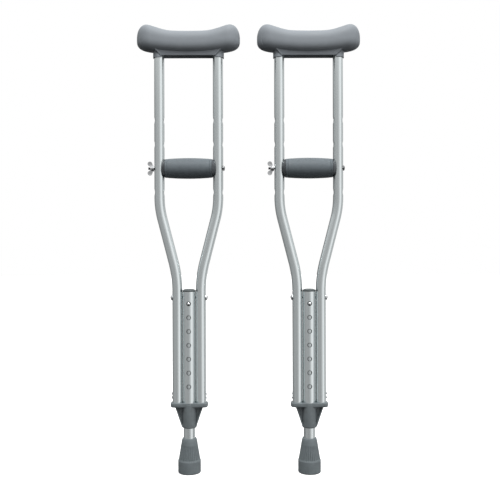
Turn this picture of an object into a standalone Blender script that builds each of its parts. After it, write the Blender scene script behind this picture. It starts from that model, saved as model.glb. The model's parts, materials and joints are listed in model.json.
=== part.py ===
"""A pair of aluminium underarm crutches, as separate pieces in their real places.

Units are metres and +Z is up. The origin is on the floor midway between the two crutches, +X runs
across both of them, and the snap buttons face -Y. Each crutch is two bent tubes (bows) riveted to a
centre tube, with a telescoping leg below, a bolted hand grip and an underarm pad on top.
"""

import math

import bmesh
import bpy
from mathutils import Matrix, Vector

# ---- Driving dimensions ----

CRUTCH_SPACING = 0.2622          # centre to centre of the pair
GAP = 0.0003                     # clearance between pieces that touch
TUBE_SEGMENTS = 16
SMALL_SEGMENTS = 10
HOLE_SEGMENTS = 8

# Bows: two bent tubes, one on each side of the centre tube
BOW_RADIUS = 0.0111
BOW_WALL = 0.0012
BOW_UPPER_OFFSET = 0.0641        # from the crutch's centre line to the tube's own, at the grip
BOW_LOWER_BEND_RADIUS = 0.250
BOW_UPPER_BEND_RADIUS = 0.190
BOW_BEND_ANGLE = math.radians(14.4)
BOW_BEND_STEPS = 3
BOW_BEND_BOTTOM = 0.3957         # height where the lower straight ends
BOW_TOP = 0.936

# Centre tube and the leg that slides in it
CENTRE_RADIUS = 0.0143
CENTRE_WALL = 0.0012
CENTRE_TOP = 0.3945
LEG_RADIUS = 0.0127
LEG_WALL = 0.0012
LEG_TOP = 0.3765
LEG_BOTTOM = 0.0203
HOLE_PITCH = 0.0300
HOLE_COUNT = 7
HOLE_LOWEST = 0.1885
HOLE_RADIUS = 0.0040
CAP_FLANGE_HEIGHT = 0.0028
CAP_DOME_HEIGHT = 0.0030
CAP_DOME_SHOULDER = (0.58, 0.93)  # where the dome flattens: shares of its radius and height
CAP_EDGE = 0.0006
CAP_PLUG_DEPTH = 0.0080

# Snap button and the leaf spring behind it
BUTTON_RADIUS = 0.0037
BUTTON_TIP = 0.0174              # distance of its tip from the leg's axis
BUTTON_DOME_HEIGHT = 0.0028
BUTTON_SHOULDER = 0.0100         # front face of the collar that stops it inside the leg
BUTTON_BACK = 0.0088
BUTTON_COLLAR_RADIUS = 0.0046
SPRING_WIDTH = 0.0070
SPRING_THICKNESS = 0.0007
SPRING_LENGTH = 0.042
SPRING_BEND_RADIUS = 0.0030
SPRING_TOP = 0.0040              # above the button's axis
SPRING_BACK_GAP = 0.0008         # from its back arm to the leg's wall

# Yoke
YOKE_TOP = 0.1525
YOKE_FLANGE_BOTTOM = 0.1435
YOKE_FLANGE_HALF_WIDTH = 0.0406
YOKE_FLANGE_HALF_DEPTH = 0.0150
YOKE_FLANGE_CORNER = 0.0100
YOKE_BOTTOM = 0.0980
YOKE_BARREL_TOP = 0.1495         # it runs up the flange's front and back as a shallow boss
YOKE_BARREL_TOP_RADIUS = 0.0160
YOKE_BARREL_BOTTOM_RADIUS = 0.0163
YOKE_BARREL_CHAMFER = 0.0022
YOKE_WEB_FOOT = 0.0050           # from the barrel's bottom to the foot of the webs
YOKE_WEB_FOOT_HALF_WIDTH = 0.0158
YOKE_WEB_TOP_HALF_WIDTH = 0.0306
YOKE_WEB_HALF_THICKNESS = 0.0030
YOKE_RIB_HALF_DEPTH = 0.0115
YOKE_RIB_THICKNESS = 0.0034
YOKE_RIB_DROP = 0.0020           # how far the ribs reach below the webs
YOKE_SOCKET_FLOOR = 0.1460       # the three tubes stand on this shoulder
YOKE_SPIGOT_TOP = 0.1780
YOKE_SPIGOT_RADIUS = 0.0093

# Fasteners of the frame
UPPER_RIVET_HEIGHT = 0.3817
UPPER_RIVET_RADIUS = 0.0024
UPPER_RIVET_HEAD_RADIUS = 0.0060
UPPER_RIVET_HEAD_HEIGHT = 0.0038
YOKE_RIVET_HEIGHTS = (0.1634, 0.1717)
YOKE_RIVET_RADIUS = 0.0016
YOKE_RIVET_HEAD_RADIUS = 0.0030
YOKE_RIVET_HEAD_HEIGHT = 0.0020
YOKE_RIVET_DEPTH = 0.0070

# Hand grip
GRIP_HEIGHT = 0.6636
GRIP_HOLE_PITCH = 0.0523
GRIP_HOLES_BELOW = 1
GRIP_HOLES_ABOVE = 2
GRIP_HOLE_RADIUS = 0.0040
CUSHION_HALF_LENGTH = 0.0512
CUSHION_END_RADIUS = 0.0203
CUSHION_MIDDLE_RADIUS = 0.0226
CUSHION_BORE = 0.0145
CORE_RADIUS = 0.0142
SADDLE_RADIUS = 0.0200
SADDLE_REACH = 0.0593            # how far the saddle's ears pass round the bow
SADDLE_EDGE = 0.0025
BOLT_RADIUS = 0.0030
BOLT_CLEARANCE = 0.0004
BOLT_HEAD_RADIUS = 0.0060
BOLT_HEAD_HEIGHT = 0.0034
BOLT_END = 0.0883
BOLT_END_CHAMFER = 0.0006
WASHER_RADIUS = 0.0064
WASHER_THICKNESS = 0.0012
NUT_HUB_RADIUS = 0.0062
NUT_HUB_TIP_RADIUS = 0.0046
NUT_HUB_LENGTH = 0.0070
NUT_HUB_SHOULDER = 0.0020
WING_SPAN_RADIUS = 0.0102        # from the bolt's axis to the middle of a wing's round end
WING_REACH = 0.0080              # from the hub's foot to the middle of a wing's round end
WING_TIP_RADIUS = 0.0050
WING_THICKNESS = 0.0024
WING_ROOT = 0.0036               # how deep in the hub a wing starts
WING_FOOT = (0.0058, 0.0012)
WING_HEEL = 0.0060
WING_ARC = (-60, 155)            # where its round end starts and stops, in degrees
WING_ARC_STEPS = 8

# Underarm pad and the bridge inside it
PAD_HALF_LENGTH = 0.1125
PAD_HALF_DEPTH = 0.0250
PAD_TOP_FLOOR = 0.9619           # level that the dished top would have if it were flat
PAD_TOP_SLOPE = 0.347            # steepness of the top outside the dish
PAD_DISH_HALF_LENGTH = 0.046
PAD_DISH_ROUND = 0.014           # how gently the dish turns into the slopes
PAD_UNDERSIDE_MIDDLE = 0.9127
PAD_UNDERSIDE_CURVE = 0.83       # rise of the underside, in 1/m
PAD_END_LEVEL = 0.9453           # height of the ends' outermost points
PAD_END_START = 0.0820           # where the ends begin to close
PAD_END_ABOVE = (2.0, 2.0)       # exponents of the ends' outline above that level
PAD_END_BELOW = (3.0, 4.0)       # and below it
PAD_SKIRT_BOTTOM = 0.9070
PAD_SKIRT_WALL = 0.0018
PAD_SKIRT_TOP = 0.9300
PAD_STATIONS = 22
PAD_SECTION_POINTS = 16
PAD_SQUARENESS = 2.6             # exponent of the superellipse that a pad section follows
ARMPIECE_BOTTOM = 0.9115
ARMPIECE_TOP = 0.9480
ARMPIECE_SPIGOT_RADIUS = 0.0094
ARMPIECE_SPIGOT_BOTTOM = 0.8960
ARMPIECE_PIN_HEIGHT = 0.9160
ARMPIECE_PIN_RADIUS = 0.0015
ARMPIECE_PIN_RECESS = 0.0004
ARMPIECE_WEB_CORNER = 0.0020

# Foot tip
TIP_RIM = 0.0750
TIP_RIM_RADIUS = 0.0152
TIP_SHOULDER_HEIGHT = 0.0690
TIP_SHOULDER_RADIUS = 0.0169
TIP_NECK_HEIGHT = 0.0306
TIP_NECK_RADIUS = 0.0232
TIP_BASE_HEIGHT = 0.0262
TIP_BASE_RADIUS = 0.0248
TIP_EDGE_ROUND = 0.0040
TIP_SOCKET_FLOOR = 0.0180
TIP_WASHER_THICKNESS = 0.0015

CUT_PAST = 0.0020                # how far a cutting shape runs past the face that it opens
FUSE_DEPTH = 0.0010              # how far a shape is sunk into the one that it joins

# ---- Sizes that follow from them ----

BOW_LOWER_OFFSET = CENTRE_RADIUS + GAP + BOW_RADIUS
BUTTON_HEIGHT = HOLE_LOWEST + (HOLE_COUNT - 1) * HOLE_PITCH
SOCKET_RADIUS = BOW_RADIUS + GAP
SKIRT_HALF_DEPTH = SOCKET_RADIUS + PAD_SKIRT_WALL
BOW_OUTER_FACE = BOW_UPPER_OFFSET + BOW_RADIUS
NUT_FOOT = BOW_OUTER_FACE + WASHER_THICKNESS + 2 * GAP

# ---- Colours: base colour, roughness, metallic ----

FINISHES = {
    "aluminium": ((0.60, 0.61, 0.61), 0.30, 1.0),
    "bright_steel": ((0.70, 0.70, 0.70), 0.20, 1.0),
    "dark_steel": ((0.22, 0.22, 0.22), 0.35, 1.0),
    "spring_steel": ((0.45, 0.45, 0.46), 0.30, 1.0),
    "pad_rubber": ((0.25, 0.27, 0.30), 0.60, 0.0),
    "grip_rubber": ((0.11, 0.13, 0.14), 0.55, 0.0),
    "yoke_plastic": ((0.12, 0.13, 0.14), 0.45, 0.0),
    "saddle_plastic": ((0.04, 0.045, 0.05), 0.35, 0.0),
    "foot_rubber": ((0.13, 0.15, 0.16), 0.65, 0.0),
}


def clear_scene():
    for item in list(bpy.data.objects):
        bpy.data.objects.remove(item, do_unlink=True)


def make_material(name):
    colour, roughness, metallic = FINISHES[name]
    made = bpy.data.materials.get(name) or bpy.data.materials.new(name)
    made.use_nodes = True
    shader = made.node_tree.nodes["Principled BSDF"]
    shader.inputs["Base Color"].default_value = (*colour, 1.0)
    shader.inputs["Roughness"].default_value = roughness
    shader.inputs["Metallic"].default_value = metallic
    return made


# ---- Mesh helpers ----

def to_mesh(name, bm):
    """Turn a bmesh into a mesh whose faces all point out, with round stretches shaded smooth."""
    bmesh.ops.recalc_face_normals(bm, faces=bm.faces)
    mesh = bpy.data.meshes.new(name)
    bm.to_mesh(mesh)
    bm.free()
    mesh.shade_smooth()
    mesh.set_sharp_from_angle(angle=math.radians(40))
    return mesh


def ring_of(bm, points):
    return [bm.verts.new(point) for point in points]


def join_rings(bm, first, second):
    """Faces between two rings; a ring of one vertex is a tip."""
    count = max(len(first), len(second))
    for step in range(count):
        after = (step + 1) % count
        corners = [first[step % len(first)], first[after % len(first)],
                   second[after % len(second)], second[step % len(second)]]
        bm.faces.new(list(dict.fromkeys(corners)))


def turned(name, profile, segments=TUBE_SEGMENTS):
    """A solid of revolution about Z from (radius, height) points.

    A profile that starts and ends on the axis is a plain solid. One that stays clear of the axis
    closes on itself, which makes a tube.
    """
    bm = bmesh.new()
    rings = []
    for radius, height in profile:
        if radius == 0:
            rings.append(ring_of(bm, [(0, 0, height)]))
            continue
        turns = [2 * math.pi * (step + 0.5) / segments for step in range(segments)]
        rings.append(ring_of(bm, [(radius * math.cos(t), radius * math.sin(t), height) for t in turns]))
    for first, second in zip(rings, rings[1:]):
        join_rings(bm, first, second)
    if profile[0][0] > 0:
        join_rings(bm, rings[-1], rings[0])
    return to_mesh(name, bm)


def prism(name, outline, low, high, axis="Z"):
    """An outline extruded from low to high: (x, y) points along Z, or (x, z) points along Y."""
    bm = bmesh.new()

    def corner(point, level):
        return (point[0], point[1], level) if axis == "Z" else (point[0], level, point[1])

    bottom = ring_of(bm, [corner(point, low) for point in outline])
    top = ring_of(bm, [corner(point, high) for point in outline])
    bm.faces.new(bottom)
    bm.faces.new(top)
    join_rings(bm, bottom, top)
    return to_mesh(name, bm)


def rod(name, radius, start, end, segments=HOLE_SEGMENTS):
    """A plain cylinder between two points, its facets in line with those of turned()."""
    start, end = Vector(start), Vector(end)
    turn = (end - start).to_track_quat("Z", "Y").to_matrix().to_4x4()
    turn = turn @ Matrix.Rotation(math.pi / segments, 4, "Z")
    bm = bmesh.new()
    bmesh.ops.create_cone(
        bm, cap_ends=True, segments=segments, radius1=radius, radius2=radius,
        depth=(end - start).length, matrix=Matrix.Translation((start + end) / 2) @ turn)
    return to_mesh(name, bm)


def stadium(half_width, half_depth, steps=TUBE_SEGMENTS // 2):
    """Outline of a slot with round ends, from its half width along X and half depth along Y."""
    outline = []
    for centre, first in ((half_width - half_depth, -90), (half_depth - half_width, 90)):
        for step in range(steps + 1):
            turn = math.radians(first + 180 * step / steps)
            outline.append((centre + half_depth * math.cos(turn), half_depth * math.sin(turn)))
    return outline


def rounded_block(half_width, half_depth, corner, steps=4):
    """Outline of a rectangle with round corners."""
    outline = []
    for quarter, (side, front) in enumerate(((1, -1), (1, 1), (-1, 1), (-1, -1))):
        for step in range(steps + 1):
            turn = math.radians(-90 + 90 * quarter + 90 * step / steps)
            outline.append((side * (half_width - corner) + corner * math.cos(turn),
                            front * (half_depth - corner) + corner * math.sin(turn)))
    return outline


def combined(name, base, others, operation):
    """Boolean of a mesh with several others, as a new mesh. All of them share one frame."""
    scratch = [bpy.data.objects.new("scratch", mesh) for mesh in (base, *others)]
    for item in scratch:
        bpy.context.collection.objects.link(item)
    for other in scratch[1:]:
        step = scratch[0].modifiers.new("step", "BOOLEAN")
        step.operation = operation
        step.solver = "EXACT"
        step.object = other
    graph = bpy.context.evaluated_depsgraph_get()
    result = bpy.data.meshes.new_from_object(scratch[0].evaluated_get(graph))
    result.name = name
    for item in scratch:
        bpy.data.objects.remove(item, do_unlink=True)
    return result


def cut(name, base, cutters):
    return combined(name, base, cutters, "DIFFERENCE")


def fused(name, base, others):
    return combined(name, base, others, "UNION")


def place(name, mesh, finish, parent, location=(0, 0, 0), turn=(0, 0, 0)):
    """Put a piece in the scene under its parent empty."""
    mesh.materials.clear()
    mesh.materials.append(make_material(finish))
    piece = bpy.data.objects.new(name, mesh)
    piece.location = location
    piece.rotation_euler = turn
    piece.parent = parent
    bpy.context.collection.objects.link(piece)
    return piece


def place_empty(name, parent, location):
    marker = bpy.data.objects.new(name, None)
    marker.location = location
    marker.parent = parent
    bpy.context.collection.objects.link(marker)
    return marker


# ---- Frame tubes ----

def bow_path():
    """Centre line of the bow on the +X side, as (x, z) points with the tube's direction at each."""
    lower_bend, upper_bend, angle = BOW_LOWER_BEND_RADIUS, BOW_UPPER_BEND_RADIUS, BOW_BEND_ANGLE
    bends = lower_bend + upper_bend
    offset = BOW_UPPER_OFFSET - BOW_LOWER_OFFSET
    straight = (offset - bends * (1 - math.cos(angle))) / math.sin(angle)
    bend_top = BOW_BEND_BOTTOM + bends * math.sin(angle) + straight * math.cos(angle)
    path = [(BOW_LOWER_OFFSET, YOKE_SOCKET_FLOOR + GAP, 0.0)]
    turns = [angle * step / BOW_BEND_STEPS for step in range(BOW_BEND_STEPS + 1)]
    for turn in turns:
        path.append((BOW_LOWER_OFFSET + lower_bend * (1 - math.cos(turn)),
                     BOW_BEND_BOTTOM + lower_bend * math.sin(turn), turn))
    for turn in reversed(turns):
        path.append((BOW_UPPER_OFFSET - upper_bend * (1 - math.cos(turn)),
                     bend_top - upper_bend * math.sin(turn), turn))
    path.append((BOW_UPPER_OFFSET, BOW_TOP, 0.0))
    return path


def bow_mesh(side):
    """A bent tube with its grip holes, rivet holes and the hole for the armpiece's pin."""
    bm = bmesh.new()
    outer, inner = [], []
    for x, z, lean in bow_path():
        for rings, radius in ((outer, BOW_RADIUS), (inner, BOW_RADIUS - BOW_WALL)):
            points = []
            for step in range(TUBE_SEGMENTS):
                turn = 2 * math.pi * (step + 0.5) / TUBE_SEGMENTS
                across = radius * math.cos(turn)
                points.append((side * (x + across * math.cos(lean)), radius * math.sin(turn),
                               z - across * math.sin(lean)))
            rings.append(ring_of(bm, points))
    for rings in (outer, inner):
        for first, second in zip(rings, rings[1:]):
            join_rings(bm, first, second)
    join_rings(bm, outer[0], inner[0])
    join_rings(bm, outer[-1], inner[-1])
    tube = to_mesh("bow_tube", bm)

    reach = BOW_RADIUS + CUT_PAST
    upper, lower = side * BOW_UPPER_OFFSET, side * BOW_LOWER_OFFSET
    cutters = []
    for place_in_row in range(-GRIP_HOLES_BELOW, GRIP_HOLES_ABOVE + 1):
        z = GRIP_HEIGHT + place_in_row * GRIP_HOLE_PITCH
        cutters.append(rod("grip_hole", GRIP_HOLE_RADIUS, (upper - reach, 0, z), (upper + reach, 0, z)))
    cutters.append(rod("rivet_hole", UPPER_RIVET_RADIUS + GAP,
                       (lower - reach, 0, UPPER_RIVET_HEIGHT), (lower + reach, 0, UPPER_RIVET_HEIGHT)))
    for z in YOKE_RIVET_HEIGHTS:
        cutters.append(rod("yoke_rivet_hole", YOKE_RIVET_RADIUS + GAP,
                           (lower + side * BOW_RADIUS / 2, 0, z), (lower + side * reach, 0, z)))
    cutters.append(rod("pin_hole", ARMPIECE_PIN_RADIUS + GAP,
                       (upper, -reach, ARMPIECE_PIN_HEIGHT), (upper, reach, ARMPIECE_PIN_HEIGHT)))
    return cut("bow", tube, cutters)


def centre_tube_mesh():
    inner = CENTRE_RADIUS - CENTRE_WALL
    tube = turned("centre_tube_plain", [
        (CENTRE_RADIUS, YOKE_SOCKET_FLOOR + GAP), (CENTRE_RADIUS, CENTRE_TOP),
        (inner, CENTRE_TOP), (inner, YOKE_SOCKET_FLOOR + GAP)])
    reach = CENTRE_RADIUS + CUT_PAST
    cutters = []
    for number in range(HOLE_COUNT):
        z = HOLE_LOWEST + number * HOLE_PITCH
        cutters.append(rod("button_hole", HOLE_RADIUS, (0, -reach, z), (0, -CENTRE_RADIUS / 2, z)))
    cutters.append(rod("rivet_hole", UPPER_RIVET_RADIUS + GAP,
                       (-reach, 0, UPPER_RIVET_HEIGHT), (reach, 0, UPPER_RIVET_HEIGHT)))
    return cut("centre_tube", tube, cutters)


def cap_mesh():
    """Thin domed plug; its origin is at the centre tube's top edge."""
    plug = CENTRE_RADIUS - CENTRE_WALL - GAP
    crown = GAP + CAP_FLANGE_HEIGHT
    return turned("centre_tube_cap", [
        (0, -CAP_PLUG_DEPTH), (plug, -CAP_PLUG_DEPTH), (plug, GAP), (CENTRE_RADIUS, GAP),
        (CENTRE_RADIUS, crown - CAP_EDGE), (CENTRE_RADIUS - CAP_EDGE, crown),
        (CENTRE_RADIUS * CAP_DOME_SHOULDER[0], crown + CAP_DOME_HEIGHT * CAP_DOME_SHOULDER[1]),
        (0, crown + CAP_DOME_HEIGHT)])


def leg_mesh():
    """The telescoping tube, with one hole in front for the snap button."""
    inner = LEG_RADIUS - LEG_WALL
    tube = turned("leg_plain", [
        (LEG_RADIUS, LEG_BOTTOM), (LEG_RADIUS, LEG_TOP), (inner, LEG_TOP), (inner, LEG_BOTTOM)])
    hole = rod("leg_hole", HOLE_RADIUS, (0, -LEG_RADIUS - CUT_PAST, BUTTON_HEIGHT),
               (0, -LEG_RADIUS / 2, BUTTON_HEIGHT))
    return cut("leg_tube", tube, [hole])


# ---- Snap button ----

def button_mesh():
    """Domed pin with a collar, along Z from the leg's axis outward (it is laid towards -Y)."""
    profile = [(0, BUTTON_BACK), (BUTTON_COLLAR_RADIUS, BUTTON_BACK),
               (BUTTON_COLLAR_RADIUS, BUTTON_SHOULDER), (BUTTON_RADIUS, BUTTON_SHOULDER)]
    for step in range(4):
        turn = math.radians(90 * step / 4)
        sunk = BUTTON_DOME_HEIGHT * (1 - math.sin(turn))
        profile.append((BUTTON_RADIUS * math.cos(turn), BUTTON_TIP - sunk))
    profile.append((0, BUTTON_TIP))
    return turned("snap_button", profile, SMALL_SEGMENTS)


def button_spring_mesh():
    """A leaf spring: one arm behind the button, a round bend below, one arm on the back wall.

    Its origin is on the button's axis, on the leg's centre line.
    """
    front = -BUTTON_BACK + GAP
    back = math.sqrt((LEG_RADIUS - LEG_WALL) ** 2 - (SPRING_WIDTH / 2) ** 2) - SPRING_BACK_GAP
    bend_z = -SPRING_LENGTH
    middle = (front + back) / 2
    centre_line = [(front + SPRING_THICKNESS / 2, SPRING_TOP)]
    for step in range(9):
        turn = math.radians(180 + 180 * step / 8)
        centre_line.append((middle + SPRING_BEND_RADIUS * math.cos(turn),
                            bend_z + SPRING_BEND_RADIUS * math.sin(turn)))
    centre_line.append((back - SPRING_THICKNESS / 2, SPRING_TOP))
    outline = []
    for side in (1, -1):
        points = centre_line if side == 1 else centre_line[::-1]
        for number, (y, z) in enumerate(points):
            before = Vector(points[max(number - 1, 0)])
            after = Vector(points[min(number + 1, len(points) - 1)])
            along = (after - before).normalized()
            outline.append((y - along.y * SPRING_THICKNESS / 2, z + along.x * SPRING_THICKNESS / 2))
    bm = bmesh.new()
    near = ring_of(bm, [(-SPRING_WIDTH / 2, y, z) for y, z in outline])
    far = ring_of(bm, [(SPRING_WIDTH / 2, y, z) for y, z in outline])
    bm.faces.new(near)
    bm.faces.new(far)
    join_rings(bm, near, far)
    return to_mesh("button_spring", bm)


# ---- Yoke ----

def yoke_mesh():
    """Flange with three tube sockets, tapered barrel round the leg, ribbed webs and two spigots."""
    flange_outline = rounded_block(YOKE_FLANGE_HALF_WIDTH, YOKE_FLANGE_HALF_DEPTH, YOKE_FLANGE_CORNER)
    flange = prism("flange", flange_outline, YOKE_FLANGE_BOTTOM, YOKE_TOP)
    barrel = turned("barrel", [
        (0, YOKE_BOTTOM), (YOKE_BARREL_BOTTOM_RADIUS - YOKE_BARREL_CHAMFER, YOKE_BOTTOM),
        (YOKE_BARREL_BOTTOM_RADIUS, YOKE_BOTTOM + YOKE_BARREL_CHAMFER),
        (YOKE_BARREL_TOP_RADIUS, YOKE_BARREL_TOP), (0, YOKE_BARREL_TOP)])

    web_foot = YOKE_BOTTOM + YOKE_WEB_FOOT
    web_top = YOKE_FLANGE_BOTTOM + FUSE_DEPTH
    rib_foot = web_foot - YOKE_RIB_DROP
    foot_half_width, top_half_width = YOKE_WEB_FOOT_HALF_WIDTH, YOKE_WEB_TOP_HALF_WIDTH
    web_outline = [(-foot_half_width, web_foot), (foot_half_width, web_foot),
                   (top_half_width, web_top), (-top_half_width, web_top)]
    additions = [barrel, prism("web", web_outline, -YOKE_WEB_HALF_THICKNESS, YOKE_WEB_HALF_THICKNESS, "Y")]
    for side in (-1, 1):
        rib = [(side * foot_half_width, rib_foot), (side * top_half_width, web_top),
               (side * (top_half_width - YOKE_RIB_THICKNESS), web_top),
               (side * (foot_half_width - YOKE_RIB_THICKNESS), rib_foot)]
        additions.append(prism("rib", rib, -YOKE_RIB_HALF_DEPTH, YOKE_RIB_HALF_DEPTH, "Y"))
    solid = fused("yoke_solid", flange, additions)

    above = YOKE_TOP + CUT_PAST
    below = YOKE_BOTTOM - CUT_PAST
    cutters = [
        rod("leg_bore", LEG_RADIUS + GAP, (0, 0, below), (0, 0, above), TUBE_SEGMENTS),
        rod("centre_socket", CENTRE_RADIUS + GAP, (0, 0, YOKE_SOCKET_FLOOR), (0, 0, above), TUBE_SEGMENTS)]
    spigots = []
    for side in (-1, 1):
        x = side * BOW_LOWER_OFFSET
        cutters.append(rod("bow_socket", SOCKET_RADIUS, (x, 0, YOKE_SOCKET_FLOOR), (x, 0, above),
                           TUBE_SEGMENTS))
        spigots.append(rod("spigot", YOKE_SPIGOT_RADIUS, (x, 0, YOKE_SOCKET_FLOOR - FUSE_DEPTH),
                           (x, 0, YOKE_SPIGOT_TOP), TUBE_SEGMENTS))
    hollowed = cut("yoke_hollowed", solid, cutters)
    with_spigots = fused("yoke_with_spigots", hollowed, spigots)

    holes = []
    for side in (-1, 1):
        start = side * (BOW_LOWER_OFFSET + BOW_RADIUS - YOKE_RIVET_DEPTH - GAP)
        end = side * (BOW_LOWER_OFFSET + YOKE_SPIGOT_RADIUS + CUT_PAST)
        holes += [rod("rivet_hole", YOKE_RIVET_RADIUS + GAP, (start, 0, z), (end, 0, z))
                  for z in YOKE_RIVET_HEIGHTS]
    return cut("yoke", with_spigots, holes)


# ---- Fasteners ----

def domed_head(radius, height, foot, steps=2):
    """Profile points of a low dome of the given radius and height that stands on z = foot."""
    points = []
    for step in range(steps + 1):
        turn = math.radians(90 * step / (steps + 1))
        points.append((radius * math.cos(turn), foot + height * math.sin(turn)))
    return points + [(0, foot + height)]


def upper_rivet_mesh():
    """Through rivet along Z with a domed head at each end, its origin at its middle."""
    foot = BOW_LOWER_OFFSET + BOW_RADIUS + GAP
    top = domed_head(UPPER_RIVET_HEAD_RADIUS, UPPER_RIVET_HEAD_HEIGHT, foot)
    shank = [(UPPER_RIVET_RADIUS, -foot), (UPPER_RIVET_RADIUS, foot)]
    bottom = [(radius, -height) for radius, height in reversed(top)]
    return turned("upper_rivet", bottom + shank + top, SMALL_SEGMENTS)


def yoke_rivet_mesh():
    """Blind rivet along Z; its origin is where its axis meets the bow's outer face."""
    return turned("yoke_rivet", [(0, -YOKE_RIVET_DEPTH), (YOKE_RIVET_RADIUS, -YOKE_RIVET_DEPTH),
                                 (YOKE_RIVET_RADIUS, GAP)]
                  + domed_head(YOKE_RIVET_HEAD_RADIUS, YOKE_RIVET_HEAD_HEIGHT, GAP), SMALL_SEGMENTS)


def grip_bolt_mesh():
    """Bolt along Z: head at the top, threaded end at the bottom, its origin mid-crutch."""
    foot = BOW_OUTER_FACE + GAP
    return turned("grip_bolt", [
        (0, -BOLT_END), (BOLT_RADIUS - BOLT_END_CHAMFER, -BOLT_END),
        (BOLT_RADIUS, -BOLT_END + BOLT_END_CHAMFER),
        (BOLT_RADIUS, foot)] + domed_head(BOLT_HEAD_RADIUS, BOLT_HEAD_HEIGHT, foot), SMALL_SEGMENTS)


def washer_mesh(outer, bore, thickness):
    return turned("washer", [(outer, 0), (outer, thickness), (bore, thickness), (bore, 0)], SMALL_SEGMENTS)


def wing_nut_mesh():
    """Hub along Z with two swept wings in the XZ plane; its origin is at the hub's foot."""
    hub = turned("hub", [
        (0, 0), (NUT_HUB_RADIUS, 0), (NUT_HUB_RADIUS, NUT_HUB_SHOULDER),
        (NUT_HUB_TIP_RADIUS, NUT_HUB_LENGTH), (0, NUT_HUB_LENGTH)], TUBE_SEGMENTS)
    wings = []
    for side in (-1, 1):
        tip = Vector((side * WING_SPAN_RADIUS, WING_REACH))
        outline = [(side * WING_ROOT, WING_FOOT[1]), (side * WING_FOOT[0], WING_FOOT[1])]
        for step in range(WING_ARC_STEPS + 1):
            turn = math.radians(WING_ARC[0] + (WING_ARC[1] - WING_ARC[0]) * step / WING_ARC_STEPS)
            outline.append((tip.x + side * WING_TIP_RADIUS * math.cos(turn),
                            tip.y + WING_TIP_RADIUS * math.sin(turn)))
        outline.append((side * WING_ROOT, WING_HEEL))
        wings.append(prism("wing", outline, -WING_THICKNESS / 2, WING_THICKNESS / 2, "Y"))
    body = fused("nut_body", hub, wings)
    bore = rod("nut_bore", BOLT_RADIUS + BOLT_CLEARANCE,
               (0, 0, -CUT_PAST), (0, 0, NUT_HUB_LENGTH + CUT_PAST))
    return cut("wing_nut", body, [bore])


# ---- Hand grip, along X with its origin on the bolt's axis mid-crutch ----

def cushion_mesh():
    """Barrel-shaped sleeve along Z."""
    steps = 6
    profile = []
    for step in range(steps + 1):
        share = 2 * step / steps - 1
        swell = (CUSHION_MIDDLE_RADIUS - CUSHION_END_RADIUS) * (1 - share ** 2)
        profile.append((CUSHION_END_RADIUS + swell, share * CUSHION_HALF_LENGTH))
    profile += [(CUSHION_BORE, CUSHION_HALF_LENGTH), (CUSHION_BORE, -CUSHION_HALF_LENGTH)]
    return turned("grip_cushion", profile)


def core_mesh():
    bore = BOLT_RADIUS + BOLT_CLEARANCE
    return turned("grip_core", [
        (CORE_RADIUS, -CUSHION_HALF_LENGTH), (CORE_RADIUS, CUSHION_HALF_LENGTH),
        (bore, CUSHION_HALF_LENGTH), (bore, -CUSHION_HALF_LENGTH)])


def saddle_mesh():
    """End piece along Z whose hollow face hugs the bow; the bow's axis is along X here."""
    near = CUSHION_HALF_LENGTH + GAP
    block = turned("saddle_block", [
        (0, near), (SADDLE_RADIUS, near), (SADDLE_RADIUS, SADDLE_REACH - SADDLE_EDGE),
        (SADDLE_RADIUS - SADDLE_EDGE, SADDLE_REACH), (0, SADDLE_REACH)])
    reach = SADDLE_RADIUS + CUT_PAST
    hollow = rod("tube_hollow", SOCKET_RADIUS, (-reach, 0, BOW_UPPER_OFFSET), (reach, 0, BOW_UPPER_OFFSET),
                 TUBE_SEGMENTS)
    bore = rod("bolt_bore", BOLT_RADIUS + BOLT_CLEARANCE, (0, 0, near - CUT_PAST), (0, 0, SADDLE_REACH))
    return cut("grip_saddle", block, [hollow, bore])


# ---- Underarm pad ----

def pad_closing(x, exponents):
    """Share of the full section at x: 1 along the middle, then down to 0 at the ends."""
    share = max((abs(x) - PAD_END_START) / (PAD_HALF_LENGTH - PAD_END_START), 0.0)
    return max(1 - share ** exponents[0], 0.0) ** (1 / exponents[1])


def pad_levels(x):
    """Top and bottom height of the pad's body at a distance x from its middle."""
    outside = abs(x) - PAD_DISH_HALF_LENGTH
    rise = (outside + math.hypot(outside, PAD_DISH_ROUND)) / 2
    top = PAD_TOP_FLOOR + PAD_TOP_SLOPE * rise
    bottom = PAD_UNDERSIDE_MIDDLE + PAD_UNDERSIDE_CURVE * x ** 2
    return (PAD_END_LEVEL + (top - PAD_END_LEVEL) * pad_closing(x, PAD_END_ABOVE),
            PAD_END_LEVEL + (bottom - PAD_END_LEVEL) * pad_closing(x, PAD_END_BELOW))


def pad_station(number):
    """Distance of a section from the middle; sections crowd where the ends turn over."""
    share = 2 * number / PAD_STATIONS - 1
    return PAD_HALF_LENGTH * math.sin(share * math.pi / 2)


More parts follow.
